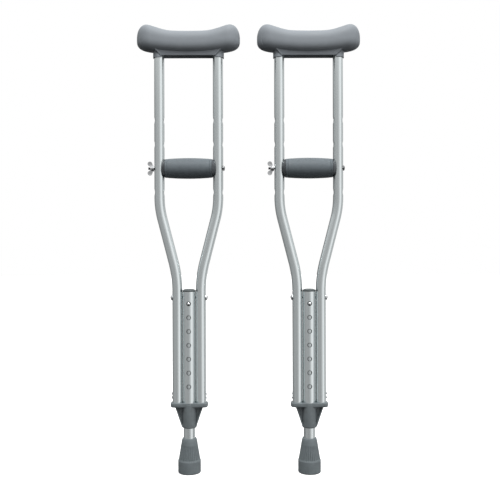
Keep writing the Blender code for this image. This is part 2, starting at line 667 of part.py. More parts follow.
def pad_mesh():
    """Saddle-shaped pad, a skirt below it, and one pocket for the bow tops and the armpiece."""
    bm = bmesh.new()
    rings = [ring_of(bm, [(-PAD_HALF_LENGTH, 0, PAD_END_LEVEL)])]
    for number in range(1, PAD_STATIONS):
        x = pad_station(number)
        top, bottom = pad_levels(x)
        closing = pad_closing(x, PAD_END_ABOVE)
        points = []
        for step in range(PAD_SECTION_POINTS):
            turn = 2 * math.pi * step / PAD_SECTION_POINTS
            c, s = math.cos(turn), math.sin(turn)
            y = math.copysign(abs(c) ** (2 / PAD_SQUARENESS), c) * PAD_HALF_DEPTH * closing
            z = math.copysign(abs(s) ** (2 / PAD_SQUARENESS), s) * (top - bottom) / 2
            points.append((x, y, (top + bottom) / 2 + z))
        rings.append(ring_of(bm, points))
    rings.append(ring_of(bm, [(PAD_HALF_LENGTH, 0, PAD_END_LEVEL)]))
    for first, second in zip(rings, rings[1:]):
        join_rings(bm, first, second)
    body = to_mesh("pad_body", bm)

    skirt = prism("skirt", stadium(BOW_UPPER_OFFSET + SKIRT_HALF_DEPTH, SKIRT_HALF_DEPTH),
                  PAD_SKIRT_BOTTOM, PAD_SKIRT_TOP)
    pocket = prism("pocket", stadium(BOW_UPPER_OFFSET + SOCKET_RADIUS, SOCKET_RADIUS),
                   PAD_SKIRT_BOTTOM - CUT_PAST, ARMPIECE_TOP + GAP)
    return cut("underarm_pad", fused("pad_solid", body, [skirt]), [pocket])


def armpiece_mesh():
    """Bridge between the bow tops: a bar over them, a web between them, a spigot in each."""
    half_depth = BOW_RADIUS - GAP
    bar = prism("bar", stadium(BOW_UPPER_OFFSET + half_depth, half_depth), BOW_TOP + GAP, ARMPIECE_TOP)
    web_half = BOW_UPPER_OFFSET - BOW_RADIUS - GAP
    join = BOW_TOP + GAP + FUSE_DEPTH
    web = prism("web", rounded_block(web_half, half_depth, ARMPIECE_WEB_CORNER), ARMPIECE_BOTTOM, join)
    additions = [web]
    for side in (-1, 1):
        x = side * BOW_UPPER_OFFSET
        additions.append(rod("spigot", ARMPIECE_SPIGOT_RADIUS, (x, 0, ARMPIECE_SPIGOT_BOTTOM),
                             (x, 0, join), TUBE_SEGMENTS))
    holes = []
    for side in (-1, 1):
        x = side * BOW_UPPER_OFFSET
        reach = ARMPIECE_SPIGOT_RADIUS + CUT_PAST
        holes.append(rod("pin_hole", ARMPIECE_PIN_RADIUS + GAP, (x, -reach, ARMPIECE_PIN_HEIGHT),
                         (x, reach, ARMPIECE_PIN_HEIGHT)))
    return cut("armpiece", fused("armpiece_solid", bar, additions), holes)


def armpiece_pin_mesh():
    """Headless pin along Z, a little shorter than the bow is wide."""
    half = BOW_RADIUS - ARMPIECE_PIN_RECESS
    return turned("armpiece_pin", [(0, -half), (ARMPIECE_PIN_RADIUS, -half), (ARMPIECE_PIN_RADIUS, half),
                                   (0, half)], SMALL_SEGMENTS)


# ---- Foot tip ----

def foot_tip_mesh():
    """Rubber ferrule with a deep socket and a flared, flat-bottomed foot."""
    socket = LEG_RADIUS + GAP
    inset = TIP_EDGE_ROUND * (1 - math.cos(math.pi / 4))    # of the round edge's middle
    return turned("foot_tip", [
        (0, 0), (TIP_BASE_RADIUS - TIP_EDGE_ROUND, 0), (TIP_BASE_RADIUS - inset, inset),
        (TIP_BASE_RADIUS, TIP_EDGE_ROUND), (TIP_BASE_RADIUS, TIP_BASE_HEIGHT),
        (TIP_NECK_RADIUS, TIP_NECK_HEIGHT), (TIP_SHOULDER_RADIUS, TIP_SHOULDER_HEIGHT),
        (TIP_RIM_RADIUS, TIP_RIM), (socket, TIP_RIM), (socket, TIP_SOCKET_FLOOR), (0, TIP_SOCKET_FLOOR)])


def shared_meshes():
    """The meshes that both crutches use."""
    nut_bore = BOLT_RADIUS + BOLT_CLEARANCE
    disc_radius = LEG_RADIUS - GAP
    return {
        "underarm_pad": pad_mesh(),
        "armpiece": armpiece_mesh(),
        "armpiece_pin": armpiece_pin_mesh(),
        "bow_nut_side": bow_mesh(-1),
        "bow_head_side": bow_mesh(1),
        "centre_tube": centre_tube_mesh(),
        "centre_tube_cap": cap_mesh(),
        "upper_rivet": upper_rivet_mesh(),
        "yoke": yoke_mesh(),
        "yoke_rivet": yoke_rivet_mesh(),
        "grip_cushion": cushion_mesh(),
        "grip_core": core_mesh(),
        "grip_saddle": saddle_mesh(),
        "grip_bolt": grip_bolt_mesh(),
        "nut_washer": washer_mesh(WASHER_RADIUS, nut_bore, WASHER_THICKNESS),
        "wing_nut": wing_nut_mesh(),
        "leg_tube": leg_mesh(),
        "snap_button": button_mesh(),
        "button_spring": button_spring_mesh(),
        "foot_tip": foot_tip_mesh(),
        "tip_washer": turned("tip_washer", [(0, 0), (disc_radius, 0), (disc_radius, TIP_WASHER_THICKNESS),
                                            (0, TIP_WASHER_THICKNESS)]),
    }


def build_crutch(label, x, meshes):
    """One crutch whose centre line stands at the given x."""
    along_x = (0, math.pi / 2, 0)
    along_minus_x = (0, -math.pi / 2, 0)
    along_minus_y = (math.pi / 2, 0, 0)
    sides = (("nut_side", -1, along_minus_x), ("head_side", 1, along_x))

    def put(name, mesh, finish, parent, location=(0, 0, 0), turn=(0, 0, 0)):
        return place(f"{label}_{name}", meshes[mesh], finish, parent, location, turn)

    crutch = place_empty(f"{label}_crutch", None, (x, 0, 0))
    put("underarm_pad", "underarm_pad", "pad_rubber", crutch)
    put("armpiece", "armpiece", "yoke_plastic", crutch)
    put("centre_tube", "centre_tube", "aluminium", crutch)
    put("centre_tube_cap", "centre_tube_cap", "yoke_plastic", crutch, (0, 0, CENTRE_TOP))
    put("upper_rivet", "upper_rivet", "bright_steel", crutch, (0, 0, UPPER_RIVET_HEIGHT), along_x)
    put("yoke", "yoke", "yoke_plastic", crutch)

    grip = place_empty(f"{label}_grip", crutch, (0, 0, GRIP_HEIGHT))
    put("grip_cushion", "grip_cushion", "grip_rubber", grip, turn=along_x)
    put("grip_core", "grip_core", "saddle_plastic", grip, turn=along_x)
    put("grip_bolt", "grip_bolt", "dark_steel", grip, turn=along_x)
    put("nut_washer", "nut_washer", "bright_steel", grip, (-BOW_OUTER_FACE - GAP, 0, 0), along_minus_x)
    put("wing_nut", "wing_nut", "bright_steel", grip, (-NUT_FOOT, 0, 0), along_minus_x)

    rivet_number = 0
    for side_name, side, outward in sides:
        put(f"bow_{side_name}", f"bow_{side_name}", "aluminium", crutch)
        put(f"armpiece_pin_{side_name}", "armpiece_pin", "bright_steel", crutch,
            (side * BOW_UPPER_OFFSET, 0, ARMPIECE_PIN_HEIGHT), along_minus_y)
        put(f"grip_saddle_{side_name}", "grip_saddle", "saddle_plastic", grip, turn=outward)
        for z in YOKE_RIVET_HEIGHTS:
            rivet_number += 1
            put(f"yoke_rivet_{rivet_number}", "yoke_rivet", "bright_steel", crutch,
                (side * (BOW_LOWER_OFFSET + BOW_RADIUS), 0, z), outward)

    leg = place_empty(f"{label}_leg", crutch, (0, 0, 0))
    put("leg_tube", "leg_tube", "aluminium", leg)
    put("foot_tip", "foot_tip", "foot_rubber", leg)
    put("tip_washer", "tip_washer", "spring_steel", leg, (0, 0, TIP_SOCKET_FLOOR + GAP))
    put("snap_button", "snap_button", "bright_steel", leg, (0, 0, BUTTON_HEIGHT), along_minus_y)
    put("button_spring", "button_spring", "spring_steel", leg, (0, 0, BUTTON_HEIGHT))


def main():
    clear_scene()
    meshes = shared_meshes()
    build_crutch("left", -CRUTCH_SPACING / 2, meshes)
    build_crutch("right", CRUTCH_SPACING / 2, meshes)


main()
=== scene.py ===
"""Looks of a pair of underarm crutches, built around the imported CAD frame.

Every visible piece is modelled once, in the coordinates of one crutch (metres, x = 0 on its centre
line, z = 0 on the floor), and then placed on the left and on the right crutch.
"""

import json
from math import asin, atan, atan2, copysign, cos, hypot, pi, radians, sin, sqrt

import bmesh
import bpy
from mathutils import Matrix, Vector


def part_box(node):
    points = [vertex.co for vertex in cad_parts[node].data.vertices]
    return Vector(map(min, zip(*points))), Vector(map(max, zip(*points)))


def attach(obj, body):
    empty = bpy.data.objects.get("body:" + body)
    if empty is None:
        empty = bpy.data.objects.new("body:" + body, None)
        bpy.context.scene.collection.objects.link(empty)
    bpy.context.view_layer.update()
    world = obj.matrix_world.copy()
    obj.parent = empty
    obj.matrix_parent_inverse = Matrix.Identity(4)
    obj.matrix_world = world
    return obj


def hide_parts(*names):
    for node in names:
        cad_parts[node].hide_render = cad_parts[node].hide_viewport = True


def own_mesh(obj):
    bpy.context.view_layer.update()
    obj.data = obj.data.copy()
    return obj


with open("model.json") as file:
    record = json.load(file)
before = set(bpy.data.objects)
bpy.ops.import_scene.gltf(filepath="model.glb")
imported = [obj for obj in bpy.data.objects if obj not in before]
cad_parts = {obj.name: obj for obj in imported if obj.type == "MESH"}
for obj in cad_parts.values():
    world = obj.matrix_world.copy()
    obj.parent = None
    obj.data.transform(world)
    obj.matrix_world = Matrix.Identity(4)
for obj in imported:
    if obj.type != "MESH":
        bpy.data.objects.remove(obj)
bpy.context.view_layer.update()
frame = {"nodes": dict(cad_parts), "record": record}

CRUTCHES = ("left", "right")
SIDES = (("nut_side", -1), ("head_side", 1))
CAD_FACET = cos(pi / 16)  # the CAD's round pieces have 16 flats, corners off the axes


# ---- Places, from the frame ----

def centre_x(crutch):
    low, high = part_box(f"{crutch}_leg_tube")
    return (low.x + high.x) / 2


def local_box(part):
    """Lowest and highest corner of a CAD node, in the coordinates of its own crutch."""
    low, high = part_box(f"left_{part}")
    origin = Vector((centre_x("left"), 0, 0))
    return low - origin, high - origin


def cad_radius(part):
    """True radius of an upright round CAD node."""
    low, high = local_box(part)
    return (high.y - low.y) / 2 / CAD_FACET


bow_low, bow_high = local_box("bow_head_side")
leg_low, leg_high = local_box("leg_tube")
centre_low, centre_high = local_box("centre_tube")
pad_low, pad_high = local_box("underarm_pad")
yoke_low, yoke_high = local_box("yoke")
_, tip_high = local_box("foot_tip")
bolt_low, bolt_high = local_box("grip_bolt")
_, nut_high = local_box("wing_nut")
washer_low, washer_high = local_box("nut_washer")
cushion_low, cushion_high = local_box("grip_cushion")
button_low, button_high = local_box("snap_button")
spring_low, spring_high = local_box("button_spring")
upper_rivet_low, upper_rivet_high = local_box("upper_rivet")

# ---- Sizes ----

BOW_RADIUS = cad_radius("bow_head_side")
BOW_WALL = 0.0012
BOW_UPPER_X = bow_high.x - BOW_RADIUS * CAD_FACET
BOW_LOWER_X = bow_low.x + BOW_RADIUS * CAD_FACET
BOW_LOWER_BEND_RADIUS = 0.250
BOW_UPPER_BEND_RADIUS = 0.190
BOW_BEND_ANGLE = radians(14.4)
BOW_BEND_BOTTOM = 0.3957
TUBE_CLEARANCE = 0.0003

CENTRE_RADIUS = cad_radius("centre_tube")
CENTRE_WALL = 0.0012
LEG_RADIUS = cad_radius("leg_tube")
LEG_WALL = 0.0012

GRIP_HEIGHT = (cushion_low.z + cushion_high.z) / 2
GRIP_HOLE_PITCH = 0.0523
GRIP_HOLES = (-1, 0, 1, 2)  # places in the row, counted from the grip
GRIP_HOLE_RADIUS = 0.0040
GRIP_HOLE_PATCH = GRIP_HOLE_RADIUS * 1.6  # half the width of the square grid patch round a hole
GRIP_HOLE_CELLS = 7  # half the number of grid cells across that patch
GRIP_DIMPLE_ROWS = 5  # grid rows beyond the patch, for the dimple
GRIP_DIMPLE_DEPTH = 0.0007
GRIP_DIMPLE_REACH = 0.0045

BUTTON_HEIGHT = (button_low.z + button_high.z) / 2
BUTTON_HOLE_PITCH = 0.0300
BUTTON_HOLE_COUNT = 7
BUTTON_HOLE_RADIUS = 0.0040
BUTTON_HOLE_PATCH = BUTTON_HOLE_RADIUS * 1.5
CENTRE_HOLE_CELLS = 5
LEG_HOLE_CELLS = 6
HOLE_SHADE_REACH = 0.0011  # how far the painted shade round a button hole goes

BEND_STEPS = 12
LOWEST_ROW = 0.0005  # how far above the bends the bow's first grid row may be
TUBE_SEGMENTS = 72
FINE_SEGMENTS = 96
ON_AXIS = 1e-9  # a radius below this counts as a point on the axis
SHARP_DEGREES = 35  # edges that bend more than this are shaded sharp
SMALL_ROUND = 0.0004  # on the edges of small moulded and stamped pieces


# ---- Materials ----

def node(tree, kind, inputs=None, **settings):
    """Add a shader node of a kind, set its properties, and set or link its inputs."""
    made = tree.nodes.new("ShaderNode" + kind)
    for key, value in settings.items():
        setattr(made, key, value)
    for key, value in (inputs or {}).items():
        if isinstance(value, bpy.types.NodeSocket):
            tree.links.new(value, made.inputs[key])
        else:
            made.inputs[key].default_value = value
    return made


def ramp(tree, factor, stops):
    """Colour ramp node with (position, grey or colour) stops."""
    made = node(tree, "ValToRGB", {"Fac": factor})
    elements = made.color_ramp.elements
    while len(elements) < len(stops):
        elements.new(0.5)
    for element, (position, colour) in zip(elements, stops):
        element.position = position
        element.color = (*colour, 1.0) if isinstance(colour, tuple) else (colour, colour, colour, 1.0)
    return made.outputs["Color"]


def shaded(colour, factor):
    return tuple(min(channel * factor, 1.0) for channel in colour)


DARK_PATCH, LIGHT_PATCH = 0.3, 0.7  # noise levels at which the mottling is darkest and lightest


def surface(name, colour, roughness, mottle, grain, metallic=0.0, stretch=(1, 1, 1),
            roughness_spread=0.08, **shader_values):
    """A material with mottled colour, uneven roughness and a fine bump.

    mottle is the scale and strength of the colour variation, stretch makes its patches longer, and
    grain is the scale, strength and depth of the bump.
    """
    made = bpy.data.materials.new(name)
    made.use_nodes = True
    tree = made.node_tree
    shader = tree.nodes["Principled BSDF"]
    shader.inputs["Metallic"].default_value = metallic
    for key, value in shader_values.items():
        shader.inputs[key.replace("_", " ")].default_value = value
    place = node(tree, "TexCoord").outputs["Object"]
    stretched = node(tree, "Mapping", {"Vector": place, "Scale": stretch}).outputs["Vector"]
    patches = node(tree, "TexNoise",
                   {"Vector": stretched, "Scale": mottle[0], "Detail": 5.0, "Roughness": 0.6}).outputs["Fac"]
    tone = ramp(tree, patches, ((DARK_PATCH, shaded(colour, 1 - mottle[1])),
                                (LIGHT_PATCH, shaded(colour, 1 + mottle[1]))))
    tree.links.new(tone, shader.inputs["Base Color"])
    spread = node(tree, "MapRange", {
        "Value": patches, "From Min": DARK_PATCH, "From Max": LIGHT_PATCH,
        "To Min": max(roughness - roughness_spread, 0.02), "To Max": roughness + roughness_spread})
    tree.links.new(spread.outputs["Result"], shader.inputs["Roughness"])
    fine = node(tree, "TexNoise", {"Vector": stretched, "Scale": grain[0], "Detail": 3.0})
    bump = node(tree, "Bump", {"Height": fine.outputs["Fac"], "Strength": grain[1],
                                         "Distance": grain[2]})
    tree.links.new(bump.outputs["Normal"], shader.inputs["Normal"])
    return made


MATERIALS = {}
# Slot, and its material's colour, roughness, mottle, grain and other values
for slot, colour, roughness, mottle, grain, others in (
        ("tube_aluminium", (0.72, 0.768, 0.777), 0.24, (220.0, 0.02), (2500.0, 0.06, 0.0001),
         {"metallic": 1.0, "stretch": (1, 1, 0.03), "roughness_spread": 0.02}),
        # Painted shade: a dark metal for the faces round the button holes and for the rivet shank between
        # the tubes
        ("drilled_edge", (0.09, 0.095, 0.10), 0.40, (900.0, 0.25), (2500.0, 0.3, 0.0002),
         {"metallic": 1.0}),
        ("pad_rubber", (0.220, 0.241, 0.262), 0.62, (45.0, 0.05), (1400.0, 0.25, 0.0002),
         {"Specular_IOR_Level": 0.35}),
        # Painted shade: a near-black copy of the pad rubber for its downward faces under the apron
        ("pad_underside", (0.02, 0.021, 0.024), 0.8, (45.0, 0.05), (1400.0, 0.25, 0.0002),
         {"Specular_IOR_Level": 0.2}),
        ("grip_rubber", (0.119, 0.140, 0.154), 0.60, (90.0, 0.10), (1600.0, 0.35, 0.0002),
         {"Specular_IOR_Level": 0.35}),
        ("saddle_plastic", (0.06, 0.067, 0.075), 0.28, (120.0, 0.12), (1500.0, 0.08, 0.0001), {}),
        ("yoke_plastic", (0.145, 0.167, 0.176), 0.42, (110.0, 0.10), (1700.0, 0.15, 0.0002), {}),
        ("cap_plastic", (0.085, 0.098, 0.10), 0.40, (110.0, 0.08), (1700.0, 0.12, 0.0002),
         {"Specular_IOR_Level": 0.3}),
        ("foot_rubber", (0.155, 0.180, 0.190), 0.62, (70.0, 0.10), (1500.0, 0.30, 0.0002),
         {"Specular_IOR_Level": 0.35}),
        ("bright_steel", (0.66, 0.67, 0.68), 0.14, (260.0, 0.08), (2200.0, 0.10, 0.0001),
         {"metallic": 1.0}),
        ("dark_steel", (0.15, 0.155, 0.16), 0.24, (260.0, 0.12), (2200.0, 0.15, 0.0001),
         {"metallic": 1.0}),
        ("spring_steel", (0.70, 0.70, 0.71), 0.28, (260.0, 0.10), (2200.0, 0.12, 0.0001),
         {"metallic": 1.0, "stretch": (1, 1, 0.1)})):
    name = "satin_aluminium" if slot == "tube_aluminium" else slot
    MATERIALS[slot] = surface(name, colour, roughness, mottle, grain, **others)


def with_two_materials(mesh, main, second, is_second):
    """Give a mesh two materials, the second one on the faces that is_second picks."""
    mesh.materials.append(MATERIALS[main])
    mesh.materials.append(MATERIALS[second])
    for face in mesh.polygons:
        if is_second(face):
            face.material_index = 1
    return mesh


# ---- Mesh helpers ----

def add_object(name, data):
    made = bpy.data.objects.new(name, data)
    bpy.context.collection.objects.link(made)
    return made


def to_mesh(name, bm, sharp_degrees=SHARP_DEGREES):
    bmesh.ops.recalc_face_normals(bm, faces=bm.faces)
    mesh = bpy.data.meshes.new(name)
    bm.to_mesh(mesh)
    bm.free()
    mesh.shade_smooth()
    mesh.set_sharp_from_angle(angle=radians(sharp_degrees))
    return mesh


def ring_of(bm, points):
    return [bm.verts.new(point) for point in points]


def join_rings(bm, first, second):
    """Faces between two rings; a ring of one vertex is a tip."""
    count = max(len(first), len(second))
    for step in range(count):
        after = (step + 1) % count
        corners = [first[step % len(first)], first[after % len(first)],
                   second[after % len(second)], second[step % len(second)]]
        bm.faces.new(list(dict.fromkeys(corners)))


def join_all(bm, rings):
    for first, second in zip(rings, rings[1:]):
        join_rings(bm, first, second)


def smooth_step(share):
    share = min(max(share, 0.0), 1.0)
    return share * share * (3 - 2 * share)


def mix(first, second, share):
    return first + (second - first) * share


def softened(corners, steps=5):
    """Outline with rounded corners; a corner is (x, y, distance from it where the rounding starts)."""
    outline = []
    for number, (x, y, reach) in enumerate(corners):
        here = Vector((x, y))
        if reach == 0:
            outline.append(here)
            continue
        before = Vector(corners[number - 1][:2])
        after = Vector(corners[(number + 1) % len(corners)][:2])
        start = here + (before - here).normalized() * reach
        end = here + (after - here).normalized() * reach
        for step in range(steps + 1):
            share = step / steps
            outline.append(start.lerp(here, share).lerp(here.lerp(end, share), share))
    return [tuple(point) for point in outline]


def turned(name, profile, segments=FINE_SEGMENTS, sharp_degrees=SHARP_DEGREES, sink=None):
    """Solid of revolution about Z; a profile clear of the axis closes on itself.

    sink, if given, is a function of (radius, turn, height) that says how deep the surface is
    pressed in there.
    """
    bm = bmesh.new()
    turns = [2 * pi * step / segments for step in range(segments)]
    rings = []
    for radius, height in profile:
        if radius < ON_AXIS:
            rings.append(ring_of(bm, [(0, 0, height)]))
            continue
        points = []
        for turn in turns:
            reach = radius - sink(radius, turn, height) if sink else radius
            points.append((reach * cos(turn), reach * sin(turn), height))
        rings.append(ring_of(bm, points))
    join_all(bm, rings)
    if profile[0][0] > ON_AXIS:
        join_rings(bm, rings[-1], rings[0])
    return to_mesh(name, bm, sharp_degrees)


def prism(name, outline, low, high, axis="Z"):
    """An outline extruded from low to high: (x, y) points along Z, or (x, z) points along Y."""
    bm = bmesh.new()

    def corner(point, level):
        return (point[0], point[1], level) if axis == "Z" else (point[0], level, point[1])

    bottom = ring_of(bm, [corner(point, low) for point in outline])
    top = ring_of(bm, [corner(point, high) for point in outline])
    bm.faces.new(bottom)
    bm.faces.new(top)
    join_rings(bm, bottom, top)
    return to_mesh(name, bm)


def rod(name, radius, start, end, segments=64):
    start, end = Vector(start), Vector(end)
    turn = (end - start).to_track_quat("Z", "Y").to_matrix().to_4x4()
    bm = bmesh.new()
    bmesh.ops.create_cone(
        bm, cap_ends=True, segments=segments, radius1=radius, radius2=radius,
        depth=(end - start).length, matrix=Matrix.Translation((start + end) / 2) @ turn)
    return to_mesh(name, bm)


def stadium(half_width, half_depth, steps=32):
    """Outline of a slot with round ends."""
    outline = []
    for centre, first in ((half_width - half_depth, -90), (half_depth - half_width, 90)):
        for step in range(steps + 1):
            turn = radians(first + 180 * step / steps)
            outline.append((centre + half_depth * cos(turn), half_depth * sin(turn)))
    return outline


def combined(name, base, others, operation, bevel=None):
    """Boolean of a mesh with several others, and then, if asked, a small round on its sharp edges."""
    scratch = [add_object("scratch", mesh) for mesh in (base, *others)]
    for other in scratch[1:]:
        step = scratch[0].modifiers.new("step", "BOOLEAN")
        step.operation = operation
        step.solver = "EXACT"
        step.object = other
    if bevel:
        rounding = scratch[0].modifiers.new("round", "BEVEL")
        rounding.width = bevel
        rounding.segments = 3
        rounding.limit_method = "ANGLE"
        rounding.angle_limit = radians(40)
        rounding.use_clamp_overlap = True
    graph = bpy.context.evaluated_depsgraph_get()
    result = bpy.data.meshes.new_from_object(scratch[0].evaluated_get(graph))
    result.name = name
    for item in scratch:
        bpy.data.objects.remove(item, do_unlink=True)
    result.shade_smooth()
    result.set_sharp_from_angle(angle=radians(SHARP_DEGREES))
    return result


def cut(name, base, cutters, bevel=None):
    return combined(name, base, cutters, "DIFFERENCE", bevel)


def fused(name, base, others, bevel=None):
    return combined(name, base, others, "UNION", bevel)


def moved(mesh, x, z, turn=0.0, axis="Y"):
    """Turn a mesh about an axis and then move it to (x, 0, z)."""
    mesh.transform(Matrix.Translation((x, 0, z)) @ Matrix.Rotation(turn, 4, axis))
    return mesh


# ---- Drilled tubes ----

# Round edges of holes: distances beyond the hole, and how deep the surface is sunk there
RIM = ((0.0012, 0.0), (0.0006, 0.00003), (0.0002, 0.00010), (0.0, 0.00030))
COUNTERSINK = ((0.0011, 0.0), (0.0006, 0.00005), (0.0002, 0.00018), (0.0, 0.00042))


def dimple_sink(distance, hole_radius, depth):
    """How far a tube's surface is pressed in at a distance from a hole's axis."""
    return depth * (1 - smooth_step((distance - hole_radius) / GRIP_DIMPLE_REACH))


def walk_round(cells):
    """Grid steps, (row, column), round the edge of a square patch from its lower left corner."""
    span = range(-cells, cells)
    return ([(-cells, step) for step in span] + [(step, cells) for step in span]
            + [(cells, -step) for step in span] + [(-step, -cells) for step in span])


def tube_wall(bm, stations, radius, holes, hole_radius, dimple, rim, segments):
    """One wall of a tube: rings at the stations, (x, z, lean), with round holes let into the grid.

    A hole is (direction, z, cells), the side it faces as a number of grid columns, its height and
    half the number of grid cells that its square patch is wide. Stations have to lie at the
    patch's rows. Returns the end rings and the loop of vertices round each hole.
    """
    step_angle = 2 * pi / segments

    def skin_point(station, column, sink=0.0):
        x, z, lean = station
        across = (radius - sink) * cos(column * step_angle)
        return (x + across * cos(lean), (radius - sink) * sin(column * step_angle),
                z - across * sin(lean))

    def columns_from(direction, column):
        return (column - direction + segments / 2) % segments - segments / 2

    patches = []
    for direction, z, cells in holes:
        row = min(range(len(stations)), key=lambda number: abs(stations[number][1] - z))
        patches.append((direction, row, cells))

    def sink_at(row, column):
        sink = 0.0
        for direction, z, _ in holes if dimple else ():
            away = columns_from(direction, column)
            if abs(away) > segments / 4:
                continue
            across = radius * sin(away * step_angle)
            sink = max(sink, dimple_sink(hypot(across, stations[row][1] - z), hole_radius, dimple))
        return sink

    def inside(row, column):
        """Whether a grid point lies within a patch, clear of its edge."""
        return any(abs(row - middle) < cells and abs(columns_from(direction, column)) < cells
                   for direction, middle, cells in patches)

    grid = [[None if inside(row, column) else
             bm.verts.new(skin_point(station, column, sink_at(row, column)))
             for column in range(segments)] for row, station in enumerate(stations)]
    for row in range(len(stations) - 1):
        for column in range(segments):
            after = (column + 1) % segments
            corners = (grid[row][column], grid[row][after], grid[row + 1][after], grid[row + 1][column])
            in_patch = any(middle - cells <= row < middle + cells and
                           (column - direction + cells) % segments < 2 * cells
                           for direction, middle, cells in patches)
            if not in_patch:
                bm.faces.new(corners)

    loops = []
    for (direction, z, _), (_, middle, cells) in zip(holes, patches):
        walk = walk_round(cells)
        loop = [grid[middle + row][(direction + column) % segments] for row, column in walk]
        x = stations[middle][0]
        corner_turn = radians(225)
        for beyond, sunk in rim:
            reach = hole_radius + beyond
            points = []
            for number in range(len(walk)):
                turn = corner_turn + 2 * pi * number / len(walk)
                across, up = reach * cos(turn), reach * sin(turn)
                away = asin(across / radius) + direction * step_angle
                deep = radius - sunk - (dimple_sink(reach, hole_radius, dimple) if dimple else 0.0)
                points.append((x + deep * cos(away), deep * sin(away), z + up))
            inner = ring_of(bm, points)
            join_rings(bm, loop, inner)
            loop = inner
        loops.append(loop)
    return grid[0], grid[-1], loops


def drilled_tube(name, stations, radius, wall, holes=(), hole_radius=0.0, dimple=0.0, rim=RIM,
                 segments=TUBE_SEGMENTS):
    """Tube with round holes through its wall; their edges are rounded outside and plain inside."""
    bm = bmesh.new()
    outer = tube_wall(bm, stations, radius, holes, hole_radius, dimple, rim, segments)
    inner = tube_wall(bm, stations, radius - wall, holes, hole_radius, dimple, RIM[-1:], segments)
    for end in (0, 1):
        join_rings(bm, outer[end], inner[end])
    for near, far in zip(outer[2], inner[2]):
        join_rings(bm, near, far)
    return to_mesh(name, bm)


def hole_rows(z, cells, patch, extra=0):
    """Heights of the grid rows round a hole, with extra rows beyond its patch."""
    return [z + step * (patch / cells) for step in range(-cells - extra, cells + extra + 1)]


def bow_stations(rows):
    """Centre line of the +X bow from its foot to its top, with rows at the given heights."""
    lower_bend, upper_bend, angle = BOW_LOWER_BEND_RADIUS, BOW_UPPER_BEND_RADIUS, BOW_BEND_ANGLE
    bends = lower_bend + upper_bend
    offset = BOW_UPPER_X - BOW_LOWER_X
    straight = (offset - bends * (1 - cos(angle))) / sin(angle)
    bend_top = BOW_BEND_BOTTOM + bends * sin(angle) + straight * cos(angle)
    stations = [(BOW_LOWER_X, z, 0.0) for z in (bow_low.z, mix(bow_low.z, BOW_BEND_BOTTOM, 0.5))]
    turns = [angle * step / BEND_STEPS for step in range(BEND_STEPS + 1)]
    for turn in turns:
        stations.append((BOW_LOWER_X + lower_bend * (1 - cos(turn)),
                         BOW_BEND_BOTTOM + lower_bend * sin(turn), turn))
    for turn in reversed(turns):
        stations.append((BOW_UPPER_X - upper_bend * (1 - cos(turn)),
                         bend_top - upper_bend * sin(turn), turn))
    stations += [(BOW_UPPER_X, z, 0.0) for z in sorted(rows) if z > bend_top + LOWEST_ROW]
    stations.append((BOW_UPPER_X, bow_high.z, 0.0))
    return stations


def bow_mesh(side):
    """Side tube with dimpled grip holes, built for +X and mirrored for -X."""
    rows, holes = [], []
    for number in GRIP_HOLES:
        z = GRIP_HEIGHT + number * GRIP_HOLE_PITCH
        rows += hole_rows(z, GRIP_HOLE_CELLS, GRIP_HOLE_PATCH, GRIP_DIMPLE_ROWS)
        holes += [(direction, z, GRIP_HOLE_CELLS) for direction in (0, TUBE_SEGMENTS // 2)]
    mesh = drilled_tube("bow", bow_stations(rows), BOW_RADIUS, BOW_WALL, holes, GRIP_HOLE_RADIUS,
                        GRIP_DIMPLE_DEPTH)
    if side < 0:
        mesh.transform(Matrix.Scale(-1, 4, (1, 0, 0)))
        mesh.flip_normals()
    return mesh


def straight_stations(low, high, rows):
    return [(0.0, z, 0.0) for z in [low, *sorted(rows), high]]


def front_holes(heights, cells):
    return [(TUBE_SEGMENTS * 3 // 4, z, cells) for z in heights]


def centre_tube_mesh():
    """Tube with seven button holes in its front wall, with painted shade round their edges."""
    heights = [BUTTON_HEIGHT - number * BUTTON_HOLE_PITCH for number in range(BUTTON_HOLE_COUNT)]
    rows = [row for z in heights for row in hole_rows(z, CENTRE_HOLE_CELLS, BUTTON_HOLE_PATCH)]
    stations = straight_stations(centre_low.z, centre_high.z, rows)
    mesh = drilled_tube("centre_tube", stations, CENTRE_RADIUS, CENTRE_WALL,
                        front_holes(heights, CENTRE_HOLE_CELLS), BUTTON_HOLE_RADIUS, rim=COUNTERSINK)

    # Faces round the front holes get the painted shade
    def in_hole_shade(face):
        distance = min(hypot(face.center.x, face.center.z - z) for z in heights)
        return face.center.y < 0 and distance < BUTTON_HOLE_RADIUS + HOLE_SHADE_REACH

    return with_two_materials(mesh, "tube_aluminium", "drilled_edge", in_hole_shade)


def leg_tube_mesh():
    rows = hole_rows(BUTTON_HEIGHT, LEG_HOLE_CELLS, BUTTON_HOLE_PATCH)
    return drilled_tube("leg_tube", straight_stations(leg_low.z, leg_high.z, rows), LEG_RADIUS, LEG_WALL,
                        front_holes([BUTTON_HEIGHT], LEG_HOLE_CELLS), BUTTON_HOLE_RADIUS)


# ---- Centre tube's cap, snap button and spring ----

CAP_PLUG_DEPTH = 0.0080
CAP_FLANGE_HEIGHT = 0.0028
CAP_EDGE = 0.0006
CAP_CROWN_RADIUS = 0.0100  # inside this the dome is nearly flat
CAP_CROWN_RISE = 0.0003
CAP_CROWN_ROUND = 0.0028


def cap_mesh():
    """Domed plug in the centre tube's top, with an upright band round its foot."""
    low, high = local_box("centre_tube_cap")
    plug = CENTRE_RADIUS - CENTRE_WALL - TUBE_CLEARANCE
    foot = low.z + CAP_PLUG_DEPTH + TUBE_CLEARANCE
    shoulder = foot + CAP_FLANGE_HEIGHT
    mesh = turned("cap", softened([
        (0, low.z, 0), (plug, low.z, CAP_EDGE), (plug, foot, 0), (CENTRE_RADIUS, foot, CAP_EDGE / 2),
        (CENTRE_RADIUS, shoulder, CAP_EDGE),
        (CAP_CROWN_RADIUS, high.z - CAP_CROWN_RISE, CAP_CROWN_ROUND), (0, high.z, 0)]))
    mesh.materials.append(MATERIALS["cap_plastic"])
    return mesh


